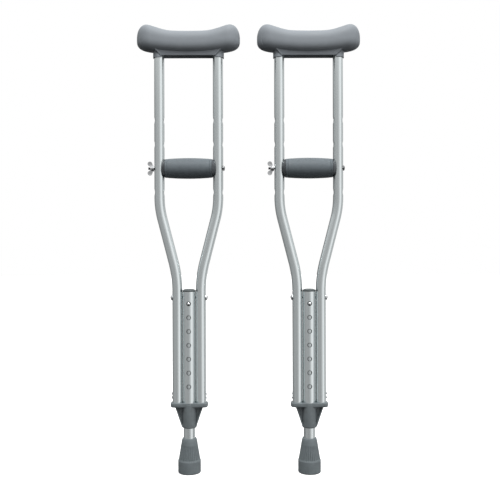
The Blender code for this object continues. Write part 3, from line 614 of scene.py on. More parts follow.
BUTTON_RADIUS = 0.0038
BUTTON_COLLAR_RADIUS = 0.0046
BUTTON_COLLAR_THICKNESS = 0.0012
BUTTON_COLLAR_ROUND = 0.0003


def button_mesh():
    """Domed steel pin that points forward through the leg and the centre tube."""
    back, tip = -button_high.y, -button_low.y
    shoulder = back + BUTTON_COLLAR_THICKNESS
    profile = softened([(0, back, 0), (BUTTON_COLLAR_RADIUS, back, BUTTON_COLLAR_ROUND),
                        (BUTTON_COLLAR_RADIUS, shoulder, BUTTON_COLLAR_ROUND)])
    profile.append((BUTTON_RADIUS, shoulder))
    steps = 12
    for step in range(steps):
        turn = radians(90 * step / steps)
        profile.append((BUTTON_RADIUS * cos(turn), tip - BUTTON_RADIUS * (1 - sin(turn))))
    profile.append((0, tip))
    return moved(turned("button", profile, segments=48), 0, BUTTON_HEIGHT, pi / 2, "X")


SPRING_THICKNESS = 0.0007
SPRING_BULGE = 0.0012
SPRING_ARM_STEPS = 12
SPRING_BEND_STEPS = 24


def spring_mesh():
    """Leaf spring behind the button: two bowed arms and a round bend below."""
    half = (spring_high.y - spring_low.y - SPRING_THICKNESS) / 2
    middle = (spring_high.y + spring_low.y) / 2
    bend = spring_low.z + half
    top = spring_high.z
    shares = [step / SPRING_ARM_STEPS for step in range(SPRING_ARM_STEPS + 1)]
    arm = [(share, SPRING_BULGE * sin(pi * share)) for share in shares]
    centre_line = [(middle - half + bulge, mix(top, bend, share)) for share, bulge in arm]
    for step in range(1, SPRING_BEND_STEPS):
        turn = radians(180 + 180 * step / SPRING_BEND_STEPS)
        centre_line.append((middle + half * cos(turn), bend + half * sin(turn)))
    centre_line += [(middle + half - bulge, mix(bend, top, share)) for share, bulge in arm]
    near, far = [], []
    for number, (y, z) in enumerate(centre_line):
        before = Vector(centre_line[max(number - 1, 0)])
        after = Vector(centre_line[min(number + 1, len(centre_line) - 1)])
        along = (after - before).normalized() * SPRING_THICKNESS / 2
        near.append((y - along.y, z + along.x))
        far.append((y + along.y, z - along.x))
    bm = bmesh.new()
    outline = near + far[::-1]
    left = ring_of(bm, [(spring_low.x, y, z) for y, z in outline])
    right = ring_of(bm, [(spring_high.x, y, z) for y, z in outline])
    join_rings(bm, left, right)
    count = len(centre_line)
    for ring in (left, right):
        for number in range(count - 1):
            bm.faces.new((ring[number], ring[number + 1],
                          ring[2 * count - 2 - number], ring[2 * count - 1 - number]))
    return to_mesh("spring", bm)


# ---- Fasteners ----

def dome_profile(radius, height, foot, steps=10, edge=0.0004):
    """Profile of a domed head that stands on z = foot, with a short upright edge."""
    points = [(radius - edge / 2, foot), (radius, foot + edge / 2)]
    for step in range(steps):
        turn = radians(90 * step / steps)
        points.append((radius * cos(turn), foot + edge + (height - edge) * sin(turn)))
    return points + [(0, foot + height)]


UPPER_RIVET_RADIUS = 0.0024
UPPER_RIVET_HEAD_RADIUS = 0.0066
UPPER_RIVET_HEAD_SUNK = 0.0016  # the squeezed head sits this deep in the bow's wall


def upper_rivet_mesh():
    """Solid rivet with two bright heads; its shank, which shows between the tubes, carries painted shade."""
    foot = BOW_LOWER_X + BOW_RADIUS - UPPER_RIVET_HEAD_SUNK
    z = (upper_rivet_low.z + upper_rivet_high.z) / 2
    top = dome_profile(UPPER_RIVET_HEAD_RADIUS, upper_rivet_high.x - foot, foot,
                       edge=UPPER_RIVET_HEAD_SUNK)
    bottom = [(radius, -height) for radius, height in reversed(top)]
    shank = [(UPPER_RIVET_RADIUS, -foot), (UPPER_RIVET_RADIUS, foot)]
    mesh = moved(turned("upper_rivet", bottom + shank + top, segments=48), 0, z, pi / 2)
    # Painted shade on the shank between the tubes, where it would otherwise glint in the crevice
    return with_two_materials(mesh, "bright_steel", "drilled_edge",
                              lambda face: abs(face.center.x) < foot / 2)


YOKE_RIVET_RADIUS = 0.0016
YOKE_RIVET_HEAD_RADIUS = 0.0030
YOKE_RIVET_EYE = 0.0009  # radius of the small pit that a blind rivet's mandrel leaves
YOKE_RIVET_EYE_EDGE = 0.0001
YOKE_RIVET_EYE_DEPTH = 0.0008
YOKE_RIVET_EYE_TAPER = 0.8


def yoke_rivet_mesh(side, number):
    """Blind rivet through the bow's wall into the yoke's spigot."""
    low, high = local_box(f"yoke_rivet_{number}")
    foot = BOW_LOWER_X + BOW_RADIUS + TUBE_CLEARANCE
    near, far = (low.x, high.x) if side > 0 else (-high.x, -low.x)
    dome = dome_profile(YOKE_RIVET_HEAD_RADIUS, far - foot, foot)
    rim = [point for point in dome if point[0] > YOKE_RIVET_EYE]
    profile = [(0, near), (YOKE_RIVET_RADIUS, near), (YOKE_RIVET_RADIUS, foot)] + rim
    floor_of_eye = far - YOKE_RIVET_EYE_DEPTH
    profile += [(YOKE_RIVET_EYE, far - YOKE_RIVET_EYE_EDGE),
                (YOKE_RIVET_EYE * YOKE_RIVET_EYE_TAPER, floor_of_eye), (0, floor_of_eye)]
    mesh = turned("yoke_rivet", profile, segments=36)
    return moved(mesh, 0, (low.z + high.z) / 2, side * pi / 2)


BOLT_RADIUS = 0.0030
BOLT_HEAD_RADIUS = 0.0060
THREAD_PITCH = 0.0010
THREAD_DEPTH = 0.00045
THREAD_LENGTH = 0.022
THREAD_TURNS = int(THREAD_LENGTH / THREAD_PITCH)
THREAD_ROWS = 6  # rings of vertices for each turn of the thread
THREAD_CHAMFER_TURNS = 1.2
THREAD_RUNOUT_TURNS = 2
BOLT_SEGMENTS = 36
HEX_SOCKET_RADIUS = 0.0018
HEX_SOCKET_DEPTH = 0.0016
HEX_SOCKET_LAND = 0.0004  # width of the head's plain ring round the socket
# Rings of the socket's wall: how deep, and how much narrower than the socket
HEX_SOCKET_WALL = ((0.0001, 1.0), (0.0002, 0.94), (HEX_SOCKET_DEPTH, 0.92))


def thread_radius(row, share):
    """Radius of the threaded end on one of its rings, at a share of a turn round it."""
    chamfer = max(0.0, 1 - row / (THREAD_ROWS * THREAD_CHAMFER_TURNS)) * THREAD_DEPTH
    runout = smooth_step((row - (THREAD_TURNS - THREAD_RUNOUT_TURNS) * THREAD_ROWS)
                         / (THREAD_RUNOUT_TURNS * THREAD_ROWS))
    phase = (row / THREAD_ROWS - share) % 1.0
    groove = THREAD_DEPTH * (1 - abs(2 * phase - 1)) * (1 - runout)
    return BOLT_RADIUS - max(groove, chamfer)


def hexagon(turn):
    """Radius of a hexagon in a direction, as a share of its corners' radius."""
    return cos(pi / 6) / cos((turn % (pi / 3)) - pi / 6)


def bolt_mesh():
    """Round-headed bolt along X with a real thread at its nut end and a hex socket in its head."""
    foot = BOW_UPPER_X + BOW_RADIUS + TUBE_CLEARANCE
    shares = [step / BOLT_SEGMENTS for step in range(BOLT_SEGMENTS)]
    turns = [2 * pi * step / BOLT_SEGMENTS for step in range(BOLT_SEGMENTS)]
    bm = bmesh.new()
    rings = [ring_of(bm, [(bolt_low.x, 0, 0)])]

    def add_ring(along, radii):
        rings.append(ring_of(bm, [(along, radius * cos(turn), radius * sin(turn))
                                  for radius, turn in zip(radii, turns)]))

    for row in range(THREAD_TURNS * THREAD_ROWS):
        add_ring(bolt_low.x + row * THREAD_PITCH / THREAD_ROWS,
                 [thread_radius(row, share) for share in shares])
    head = dome_profile(BOLT_HEAD_RADIUS, bolt_high.x - foot, foot)
    land = HEX_SOCKET_RADIUS + HEX_SOCKET_LAND
    for radius, along in [(BOLT_RADIUS, foot)] + [point for point in head if point[0] > land]:
        add_ring(along, [radius] * BOLT_SEGMENTS)
    for depth, squeeze in HEX_SOCKET_WALL:
        add_ring(bolt_high.x - depth, [HEX_SOCKET_RADIUS * squeeze * hexagon(turn) for turn in turns])
    rings.append(ring_of(bm, [(bolt_high.x - HEX_SOCKET_DEPTH, 0, 0)]))
    join_all(bm, rings)
    return moved(to_mesh("bolt", bm), 0, GRIP_HEIGHT)


NUT_BORE = 0.0034
WASHER_RADIUS = 0.0064
WASHER_EDGE = 0.0003


def washer_mesh():
    near, far = washer_low.x, washer_high.x
    thickness = far - near
    mesh = turned("washer", softened([
        (WASHER_RADIUS, 0, WASHER_EDGE), (WASHER_RADIUS, thickness, WASHER_EDGE),
        (NUT_BORE, thickness, WASHER_EDGE), (NUT_BORE, 0, WASHER_EDGE)], 3), segments=64)
    return moved(mesh, near, GRIP_HEIGHT, pi / 2)


NUT_HUB_RADIUS = 0.0062
NUT_HUB_TIP_RADIUS = 0.0046
NUT_HUB_LENGTH = 0.0070
WING_SPAN_RADIUS = 0.0102
WING_REACH = 0.0080
WING_TIP_RADIUS = 0.0050
WING_THICKNESS = 0.0024
WING_ROOT = ((0.0036, 0.0012), (0.0058, 0.0012))  # corners of the wing's outline before its tip
WING_SHOULDER = (0.0036, 0.0060)  # the corner after its tip
WING_ARC = (-60, 215, 28)  # start and length of the round tip in degrees, and its steps
WING_DISH_DEPTH = 0.0004
WING_DISH_RIM = 0.0014
NUT_CUT_PAST = 0.001  # how far small cutters go past what they cut


def wing_nut_mesh():
    """Hub with two swept wings, along -X; the wings' outer faces are dished like a stamped nut's."""
    hub = turned("hub", softened([
        (0, 0, 0), (NUT_HUB_RADIUS, 0, 0.0004), (NUT_HUB_RADIUS, 0.0018, 0.0006),
        (NUT_HUB_TIP_RADIUS, NUT_HUB_LENGTH, 0.0008), (0, NUT_HUB_LENGTH, 0)]),
        segments=64)
    arc_start, arc_length, arc_steps = WING_ARC
    wings, dishes = [], []
    for side in (-1, 1):
        tip = Vector((side * WING_SPAN_RADIUS, WING_REACH))
        outline = [(side * across, up) for across, up in WING_ROOT]
        for step in range(arc_steps + 1):
            turn = radians(arc_start + arc_length * step / arc_steps)
            outline.append((tip.x + side * WING_TIP_RADIUS * cos(turn), tip.y + WING_TIP_RADIUS * sin(turn)))
        outline.append((side * WING_SHOULDER[0], WING_SHOULDER[1]))
        wings.append(prism("wing", outline, -WING_THICKNESS / 2, WING_THICKNESS / 2, "Y"))
        for front in (-1, 1):
            surface_level = front * WING_THICKNESS / 2
            start = (side * WING_SPAN_RADIUS, surface_level - front * WING_DISH_DEPTH, WING_REACH)
            end = (side * WING_SPAN_RADIUS, surface_level + front * NUT_CUT_PAST, WING_REACH)
            dishes.append(rod("dish", WING_TIP_RADIUS - WING_DISH_RIM, start, end, segments=40))
    body = fused("nut_body", hub, wings)
    bore = rod("nut_bore", NUT_BORE, (0, 0, -NUT_CUT_PAST), (0, 0, NUT_HUB_LENGTH + NUT_CUT_PAST),
               segments=36)
    mesh = cut("wing_nut", body, [bore, *dishes], bevel=SMALL_ROUND)
    return moved(mesh, nut_high.x, GRIP_HEIGHT, -pi / 2)


# ---- Yoke ----

YOKE_FLANGE_BOTTOM = 0.1435
YOKE_TOP = 0.1525
YOKE_FLANGE_HALF_DEPTH = 0.0150
YOKE_CORNER = 0.0100
# Outlines of the flange from its bottom to its top: height, and how far they are drawn in
YOKE_FLANGE_OUTLINES = (
    (YOKE_FLANGE_BOTTOM, 0.0012), (YOKE_FLANGE_BOTTOM + 0.0009, 0.0003),
    (YOKE_FLANGE_BOTTOM + 0.0022, 0.0), (YOKE_TOP - 0.0012, 0.0),
    (YOKE_TOP - 0.0003, 0.0003), (YOKE_TOP, 0.0010))
YOKE_BARREL_TOP = 0.1495
YOKE_BARREL_TOP_RADIUS = 0.0160
YOKE_BARREL_BOTTOM_RADIUS = 0.0163
YOKE_BARREL_CHAMFER = 0.0018
YOKE_WEB_FOOT = 0.0050
YOKE_WEB_FOOT_HALF_WIDTH = 0.0158
YOKE_WEB_TOP_HALF_WIDTH = 0.0306
YOKE_WEB_HALF_THICKNESS = 0.0030
YOKE_RIB_HALF_DEPTH = 0.0090
YOKE_RIB_THICKNESS = 0.0030
YOKE_RIB_DROP = 0.0020
YOKE_SOCKET_FLOOR = 0.1460
YOKE_SPIGOT_RADIUS = 0.0093
YOKE_ROUND = 0.0006
CUT_PAST = 0.0020  # how far large cutters go past what they cut
FUSE_DEPTH = 0.0010
PIP_RADIUS = 0.0016
PIP_HEIGHT = 0.0080  # above the yoke's bottom
PIP_TURN = 28  # degrees to the right of straight in front
# Share of the pip's radius, height above the barrel's surface and rounding
PIP_PROFILE = ((0, -0.002, 0), (1.6, -0.002, 0), (1.6, 0.0002, 0.0002), (1.15, 0.0003, 0.0002),
               (0.95, -0.0005, 0.0002), (0.75, -0.0004, 0.0002), (0.5, 0.0005, 0.0003), (0, 0.0006, 0))


def rounded_block(half_width, half_depth, corner, steps=14):
    """Outline of a rectangle with round corners."""
    outline = []
    for quarter, (side, front) in enumerate(((1, -1), (1, 1), (-1, 1), (-1, -1))):
        for step in range(steps + 1):
            turn = radians(-90 + 90 * quarter + 90 * step / steps)
            outline.append((side * (half_width - corner) + corner * cos(turn),
                            front * (half_depth - corner) + corner * sin(turn)))
    return outline


def loft(name, outlines, levels):
    """Closed solid through outlines of equal length, each at its own height."""
    bm = bmesh.new()
    rings = [ring_of(bm, [(x, y, level) for x, y in outline]) for outline, level in zip(outlines, levels)]
    bm.faces.new(rings[0])
    bm.faces.new(rings[-1])
    join_all(bm, rings)
    return to_mesh(name, bm)


def yoke_mesh():
    """Flange with three tube sockets, a barrel round the leg, ribbed webs and two spigots."""
    half_width, half_depth = yoke_high.x, YOKE_FLANGE_HALF_DEPTH
    bottom = yoke_low.z
    outlines = [rounded_block(half_width - inset, half_depth - inset, YOKE_CORNER - inset)
                for _, inset in YOKE_FLANGE_OUTLINES]
    flange = loft("flange", outlines, [level for level, _ in YOKE_FLANGE_OUTLINES])
    barrel = turned("barrel", softened([
        (0, bottom, 0), (YOKE_BARREL_BOTTOM_RADIUS - YOKE_BARREL_CHAMFER, bottom, 0.0005),
        (YOKE_BARREL_BOTTOM_RADIUS, bottom + YOKE_BARREL_CHAMFER, 0.0008),
        (YOKE_BARREL_TOP_RADIUS, YOKE_BARREL_TOP, 0.0008), (0, YOKE_BARREL_TOP, 0)]), segments=64)

    web_foot, web_top = bottom + YOKE_WEB_FOOT, YOKE_FLANGE_BOTTOM + FUSE_DEPTH
    rib_foot = web_foot - YOKE_RIB_DROP
    foot_half, top_half = YOKE_WEB_FOOT_HALF_WIDTH, YOKE_WEB_TOP_HALF_WIDTH
    web = [(-foot_half, web_foot), (foot_half, web_foot), (top_half, web_top), (-top_half, web_top)]
    additions = [barrel, prism("web", web, -YOKE_WEB_HALF_THICKNESS, YOKE_WEB_HALF_THICKNESS, "Y")]
    for side in (-1, 1):
        rib = [(side * foot_half, rib_foot), (side * top_half, web_top),
               (side * (top_half - YOKE_RIB_THICKNESS), web_top),
               (side * (foot_half - YOKE_RIB_THICKNESS), rib_foot)]
        additions.append(prism("rib", rib, -YOKE_RIB_HALF_DEPTH, YOKE_RIB_HALF_DEPTH, "Y"))
    solid = fused("yoke_solid", flange, additions)

    above = YOKE_TOP + CUT_PAST
    cutters, spigots = [], []
    for name, x, radius, foot in (
            ("leg_bore", 0, LEG_RADIUS, bottom - CUT_PAST),
            ("centre_socket", 0, CENTRE_RADIUS, YOKE_SOCKET_FLOOR),
            ("bow_socket", -BOW_LOWER_X, BOW_RADIUS, YOKE_SOCKET_FLOOR),
            ("bow_socket", BOW_LOWER_X, BOW_RADIUS, YOKE_SOCKET_FLOOR)):
        cutters.append(rod(name, radius + TUBE_CLEARANCE, (x, 0, foot), (x, 0, above)))
    for x in (-BOW_LOWER_X, BOW_LOWER_X):
        spigots.append(rod("spigot", YOKE_SPIGOT_RADIUS, (x, 0, YOKE_SOCKET_FLOOR - FUSE_DEPTH),
                           (x, 0, yoke_high.z)))
    hollowed = cut("yoke_hollowed", solid, cutters)
    return fused("yoke", hollowed, spigots, bevel=YOKE_ROUND)


def pip_mesh():
    """Moulding gate mark low on the front of the yoke's barrel: a pip in a ring."""
    profile = [(PIP_RADIUS * share, height, reach) for share, height, reach in PIP_PROFILE]
    mesh = turned("pip", softened(profile, 4), segments=32)
    place = Matrix.Translation((YOKE_BARREL_BOTTOM_RADIUS, 0, yoke_low.z + PIP_HEIGHT))
    mesh.transform(Matrix.Rotation(radians(PIP_TURN - 90), 4, "Z") @ place
                   @ Matrix.Rotation(pi / 2, 4, "Y"))
    return mesh


# ---- Hand grip ----

CUSHION_HALF_LENGTH = cushion_high.x
CUSHION_END_RADIUS = 0.0203
CUSHION_MIDDLE_RADIUS = 0.0226
CUSHION_BORE = 0.0145
CUSHION_EDGE = 0.0008
CUSHION_STEPS = 400
COLLAR_START = 0.0462
COLLAR_GROOVE = 0.0007
COLLAR_GROOVE_WIDTH = 0.0012
COLLAR_RIB_PITCH = 0.0015
COLLAR_RIB_DEPTH = 0.00035
GRIP_RIB_PITCH = 0.0026
GRIP_RIB_DEPTH = 0.00022
GRIP_RIB_ZONE = 0.0390  # half the length of the ribbed part
GRIP_RIB_FADE = 0.002


def cushion_surface(along):
    """Radius of the grip cushion at a distance along from its middle."""
    away = abs(along)
    swell = (CUSHION_MIDDLE_RADIUS - CUSHION_END_RADIUS) * (1 - (away / CUSHION_HALF_LENGTH) ** 2)
    radius = CUSHION_END_RADIUS + swell
    if away > COLLAR_START:
        ribs = 0.5 - 0.5 * cos(2 * pi * (away - COLLAR_START) / COLLAR_RIB_PITCH)
        return radius - COLLAR_RIB_DEPTH * (1 - ribs)
    groove = COLLAR_GROOVE * (1 - smooth_step((COLLAR_START - away) / COLLAR_GROOVE_WIDTH))
    zone = 1 - smooth_step((away - GRIP_RIB_ZONE) / GRIP_RIB_FADE)
    ribs = (0.5 + 0.5 * cos(2 * pi * along / GRIP_RIB_PITCH)) ** 3
    return radius - groove - GRIP_RIB_DEPTH * zone * ribs


def cushion_mesh():
    """Soft sleeve of the grip, along X, with a bore for the hidden core."""
    profile = []
    for step in range(CUSHION_STEPS + 1):
        along = mix(-CUSHION_HALF_LENGTH, CUSHION_HALF_LENGTH, step / CUSHION_STEPS)
        from_end = CUSHION_HALF_LENGTH - abs(along)
        rounding = CUSHION_EDGE * (1 - sqrt(1 - (1 - min(from_end / CUSHION_EDGE, 1.0)) ** 2))
        profile.append((cushion_surface(along) - rounding, along))
    profile += [(CUSHION_BORE, CUSHION_HALF_LENGTH), (CUSHION_BORE, -CUSHION_HALF_LENGTH)]
    mesh = turned("cushion", profile, FINE_SEGMENTS, sharp_degrees=50)
    return moved(mesh, 0, GRIP_HEIGHT, pi / 2)


SADDLE_RADIUS = 0.0200
SADDLE_CROWN = 0.0625  # where its domed end would reach on the bolt's axis
SADDLE_DOME = 29.5  # how fast the dome falls away, in 1/m
SADDLE_NEAR = CUSHION_HALF_LENGTH + TUBE_CLEARANCE
SADDLE_EDGE_ROUND = 0.0003
SADDLE_EDGE_THICKNESS = 0.0006
SADDLE_LEAST_THICKNESS = 0.0008
SADDLE_STEPS = 24


def saddle_mesh(side):
    """Hard end piece of the grip: a dome whose hollow hugs the bow, so that its edges are ears."""
    corners = [(0, SADDLE_NEAR, 0), (SADDLE_RADIUS, SADDLE_NEAR, SADDLE_EDGE_ROUND),
               (SADDLE_RADIUS, SADDLE_NEAR + SADDLE_EDGE_THICKNESS, SADDLE_EDGE_ROUND)]
    profile = [(0, SADDLE_NEAR)] + softened(corners)[1:]
    for step in range(1, SADDLE_STEPS):
        radius = SADDLE_RADIUS * (1 - step / SADDLE_STEPS)
        profile.append((radius, max(SADDLE_CROWN - SADDLE_DOME * radius ** 2,
                                    SADDLE_NEAR + SADDLE_LEAST_THICKNESS)))
    profile.append((0, SADDLE_CROWN))
    dome = turned("saddle_dome", profile, segments=72)
    reach = SADDLE_RADIUS + CUT_PAST
    hollow = rod("tube_hollow", BOW_RADIUS + TUBE_CLEARANCE, (-reach, 0, BOW_UPPER_X),
                 (reach, 0, BOW_UPPER_X), segments=72)
    bore = rod("bolt_bore", NUT_BORE, (0, 0, SADDLE_NEAR - NUT_CUT_PAST), (0, 0, SADDLE_CROWN))
    mesh = cut("saddle", dome, [hollow, bore], bevel=SMALL_ROUND)
    return moved(mesh, 0, GRIP_HEIGHT, side * pi / 2)


# ---- Underarm pad ----

PAD_HALF_LENGTH = pad_high.x
PAD_HALF_DEPTH = pad_high.y
PAD_TOP_FLOOR = 0.9619  # level that the dished top would have if it were flat
PAD_TOP_SLOPE = 0.347
PAD_DISH_HALF_LENGTH = 0.046
PAD_DISH_ROUND = 0.014
PAD_UNDERSIDE_MIDDLE = 0.9127
PAD_UNDERSIDE_CURVE = 0.83
PAD_END_LEVEL = 0.9453  # height of the ends' outermost points
PAD_END_START = 0.0820
PAD_END_ABOVE = (2.0, 2.0)  # exponents of the ends' outline, above and below that level
PAD_END_BELOW = (3.0, 4.0)
PAD_SQUARENESS = 2.6
PAD_STATIONS = 240
PAD_SECTION_POINTS = 176
PAD_SEAM_REACH = (0.69, 1.02)  # half axes of the seam's ellipse, as shares of the end's own
PAD_SEAM_HALF_WIDTH = 0.045
PAD_SEAM_DEPTH = 0.0007
PAD_SEAM_START = 0.02  # share of the end that stays plain
PAD_SEAM_FADE = 3  # how fast the seam comes up beside the crown and the keel
PAD_SOCKET_RADIUS = BOW_RADIUS + TUBE_CLEARANCE
SLEEVE_RADIUS = PAD_SOCKET_RADIUS + 0.0018
SLEEVE_BOTTOM = 0.9045
APRON_BOTTOM = pad_low.z + 0.0010
APRON_TOP = 0.9230
APRON_BOTTOM_HALF_LENGTH = 0.0603
APRON_TOP_HALF_LENGTH = 0.0745
APRON_BOTTOM_HALF_DEPTH = SLEEVE_RADIUS
APRON_TOP_HALF_DEPTH = 0.0172
APRON_CORNER = 0.0030
APRON_STEPS = 6
APRON_BEAD_RADIUS = 0.0010
APRON_BEAD_INSET = (0.0016, 0.0003)  # of the beads' axes from the apron's ends, and from its faces
UNDERSIDE_BAND = 0.0020  # faces that look down this near the apron's bottom get painted shade
LOOKING_DOWN = -0.8  # and their normal's z is below this
POCKET_TOP = 0.9483


def pad_end_share(x):
    return max((abs(x) - PAD_END_START) / (PAD_HALF_LENGTH - PAD_END_START), 0.0)


def pad_closing(x, squareness):
    """Share of the full section at x: 1 along the middle, then down to 0 at the ends."""
    inner, outer = squareness
    return max(1 - pad_end_share(x) ** inner, 0.0) ** (1 / outer)


def pad_levels(x):
    """Top and bottom height of the pad's body at a distance x from its middle."""
    outside = abs(x) - PAD_DISH_HALF_LENGTH
    rise = (outside + hypot(outside, PAD_DISH_ROUND)) / 2
    top = PAD_TOP_FLOOR + PAD_TOP_SLOPE * rise
    bottom = PAD_UNDERSIDE_MIDDLE + PAD_UNDERSIDE_CURVE * x ** 2
    return (mix(PAD_END_LEVEL, top, pad_closing(x, PAD_END_ABOVE)),
            mix(PAD_END_LEVEL, bottom, pad_closing(x, PAD_END_BELOW)))


def pad_seam_sink(x, z):
    """Depth of the groove that runs round each end, parallel to the outline."""
    out = pad_end_share(x)
    if out <= PAD_SEAM_START:
        return 0.0
    top, bottom = pad_levels(copysign(PAD_END_START, x))
    half = top - PAD_END_LEVEL if z > PAD_END_LEVEL else PAD_END_LEVEL - bottom
    distance = hypot(out / PAD_SEAM_REACH[0], (z - PAD_END_LEVEL) / half / PAD_SEAM_REACH[1])
    groove = max(0.0, 1 - abs(distance - 1) / PAD_SEAM_HALF_WIDTH)
    return PAD_SEAM_DEPTH * smooth_step(groove)


def pad_body_mesh():
    """Saddle-shaped body: superellipse sections whose height and depth close at the ends."""
    bm = bmesh.new()
    rings = [ring_of(bm, [(-PAD_HALF_LENGTH, 0, PAD_END_LEVEL)])]
    for number in range(1, PAD_STATIONS):
        x = PAD_HALF_LENGTH * sin((2 * number / PAD_STATIONS - 1) * pi / 2)
        top, bottom = pad_levels(x)
        half_depth = PAD_HALF_DEPTH * pad_closing(x, PAD_END_ABOVE)
        points = []
        for step in range(PAD_SECTION_POINTS):
            turn = 2 * pi * step / PAD_SECTION_POINTS
            c, s = cos(turn), sin(turn)
            y = copysign(abs(c) ** (2 / PAD_SQUARENESS), c) * half_depth
            z = (top + bottom) / 2 + copysign(abs(s) ** (2 / PAD_SQUARENESS), s) * (top - bottom) / 2
            y -= copysign(pad_seam_sink(x, z), c) * min(1.0, abs(c) * PAD_SEAM_FADE)
            points.append((x, y, z))
        rings.append(ring_of(bm, points))
    rings.append(ring_of(bm, [(PAD_HALF_LENGTH, 0, PAD_END_LEVEL)]))
    join_all(bm, rings)
    return to_mesh("pad_body", bm)


def pad_mesh():
    """Body, a flared apron between the tube sleeves below it, and the pocket for the bow tops."""
    outlines, levels = [], []
    for step in range(APRON_STEPS + 1):
        share = step / APRON_STEPS
        half_length = mix(APRON_BOTTOM_HALF_LENGTH, APRON_TOP_HALF_LENGTH, share)
        half_depth = mix(APRON_BOTTOM_HALF_DEPTH, APRON_TOP_HALF_DEPTH, share)
        outlines.append(rounded_block(half_length, half_depth, APRON_CORNER))
        levels.append(mix(APRON_BOTTOM, APRON_TOP, share))
    apron = loft("apron", outlines, levels)
    end_inset, face_inset = APRON_BEAD_INSET
    sleeves, beads = [], []
    for side in (-1, 1):
        x = side * BOW_UPPER_X
        sleeves.append(rod("sleeve", SLEEVE_RADIUS, (x, 0, SLEEVE_BOTTOM), (x, 0, APRON_TOP)))
        for front in (-1, 1):
            foot = (side * (APRON_BOTTOM_HALF_LENGTH - end_inset),
                    front * (APRON_BOTTOM_HALF_DEPTH - face_inset), APRON_BOTTOM + 0.0003)
            top = (side * (APRON_TOP_HALF_LENGTH - end_inset),
                   front * (APRON_TOP_HALF_DEPTH - face_inset), APRON_TOP)
            beads.append(rod("bead", APRON_BEAD_RADIUS, foot, top, segments=20))
    solid = fused("pad_solid", pad_body_mesh(), [apron, *sleeves, *beads])
    pocket = prism("pocket", stadium(BOW_UPPER_X + PAD_SOCKET_RADIUS, PAD_SOCKET_RADIUS),
                   SLEEVE_BOTTOM - CUT_PAST, POCKET_TOP)
    # Downward faces near the apron's bottom get the painted shade
    return with_two_materials(
        cut("pad", solid, [pocket]), "pad_rubber", "pad_underside",
        lambda face: face.normal.z < LOOKING_DOWN and face.center.z < APRON_BOTTOM + UNDERSIDE_BAND)


# ---- Foot tip ----

TIP_RIM_RADIUS = 0.0152
TIP_SHOULDER = (0.0169, 0.0690)  # radius, height
TIP_NECK = (0.0232, 0.0306)
TIP_NECK_ROWS = 60
TIP_BASE = (0.0248, 0.0262)
TIP_EDGE_ROUND = 0.0040
TIP_SOCKET_FLOOR = 0.0180
TIP_FLUTES = 32
TIP_FLUTE_DEPTH = 0.0014
TIP_FLUTE_TOP = 0.0625
TIP_FLUTE_FADE = (0.006, 0.003)  # lengths over which the flutes run out, at their top and bottom
TIP_FLUTE_FOOT = TIP_BASE[1] + 0.0006
TREAD_DEPTH = 0.0011
TREAD_RINGS = 4
TREAD_INNER_RADIUS = 0.0045
TREAD_SLOPE = 0.0004
TREAD_SHARE = 0.62  # of a ring's width that touches the ground


def tip_flute(radius, turn, z):
    """Depth of the flutes at a place on the neck; the socket inside has none."""
    if radius <= LEG_RADIUS + 0.001:
        return 0.0
    top_fade, foot_fade = TIP_FLUTE_FADE
    along = smooth_step((TIP_FLUTE_TOP - z) / top_fade) * smooth_step((z - TIP_FLUTE_FOOT) / foot_fade)
    return TIP_FLUTE_DEPTH * along * (0.5 + 0.5 * cos(TIP_FLUTES * turn)) ** 3


def foot_tip_mesh():
    """Rubber ferrule: a flared, fluted neck, a bevelled base and a sole with tread rings."""
    socket = LEG_RADIUS + TUBE_CLEARANCE
    outer = TIP_BASE[0]
    profile = [(0, TREAD_DEPTH)]
    ring_width = (outer - TIP_EDGE_ROUND - TREAD_INNER_RADIUS) / TREAD_RINGS
    for ring in range(TREAD_RINGS):
        start = TREAD_INNER_RADIUS + ring * ring_width
        end = start + ring_width * TREAD_SHARE
        profile += [(start, TREAD_DEPTH), (start + TREAD_SLOPE, 0), (end, 0),
                    (end + TREAD_SLOPE, TREAD_DEPTH)]
    profile += softened([
        (outer - TIP_EDGE_ROUND - 0.0006, TREAD_DEPTH, 0), (outer - TIP_EDGE_ROUND, 0, 0),
        (outer, 0.0004, 0.0024), (*TIP_BASE, 0.0006), (*TIP_NECK, 0.0008)], 8)
    for row in range(1, TIP_NECK_ROWS + 1):
        share = row / TIP_NECK_ROWS
        profile.append((mix(TIP_NECK[0], TIP_SHOULDER[0], share), mix(TIP_NECK[1], TIP_SHOULDER[1], share)))
    profile += softened([
        (*TIP_SHOULDER, 0), (TIP_RIM_RADIUS, tip_high.z, 0.0010), (socket, tip_high.z, 0.0004),
        (socket, TIP_SOCKET_FLOOR, 0), (0, TIP_SOCKET_FLOOR, 0)])[1:]
    return turned("foot_tip", profile, segments=TIP_FLUTES * 8, sink=tip_flute)


# ---- Placing the pieces ----

def put(crutch, part, mesh, slot, body, stands_for=()):
    """Place a mesh on a crutch, let it ride on a body, and hide the CAD nodes that it stands for."""
    if not mesh.materials:
        mesh.materials.append(MATERIALS[slot])
    piece = add_object(f"{crutch}_{part}_detailed", mesh)
    piece.location.x = centre_x(crutch)
    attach(piece, f"{crutch}_{body}")
    if stands_for:
        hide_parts(*[f"{crutch}_{name}" for name in stands_for])
    return piece


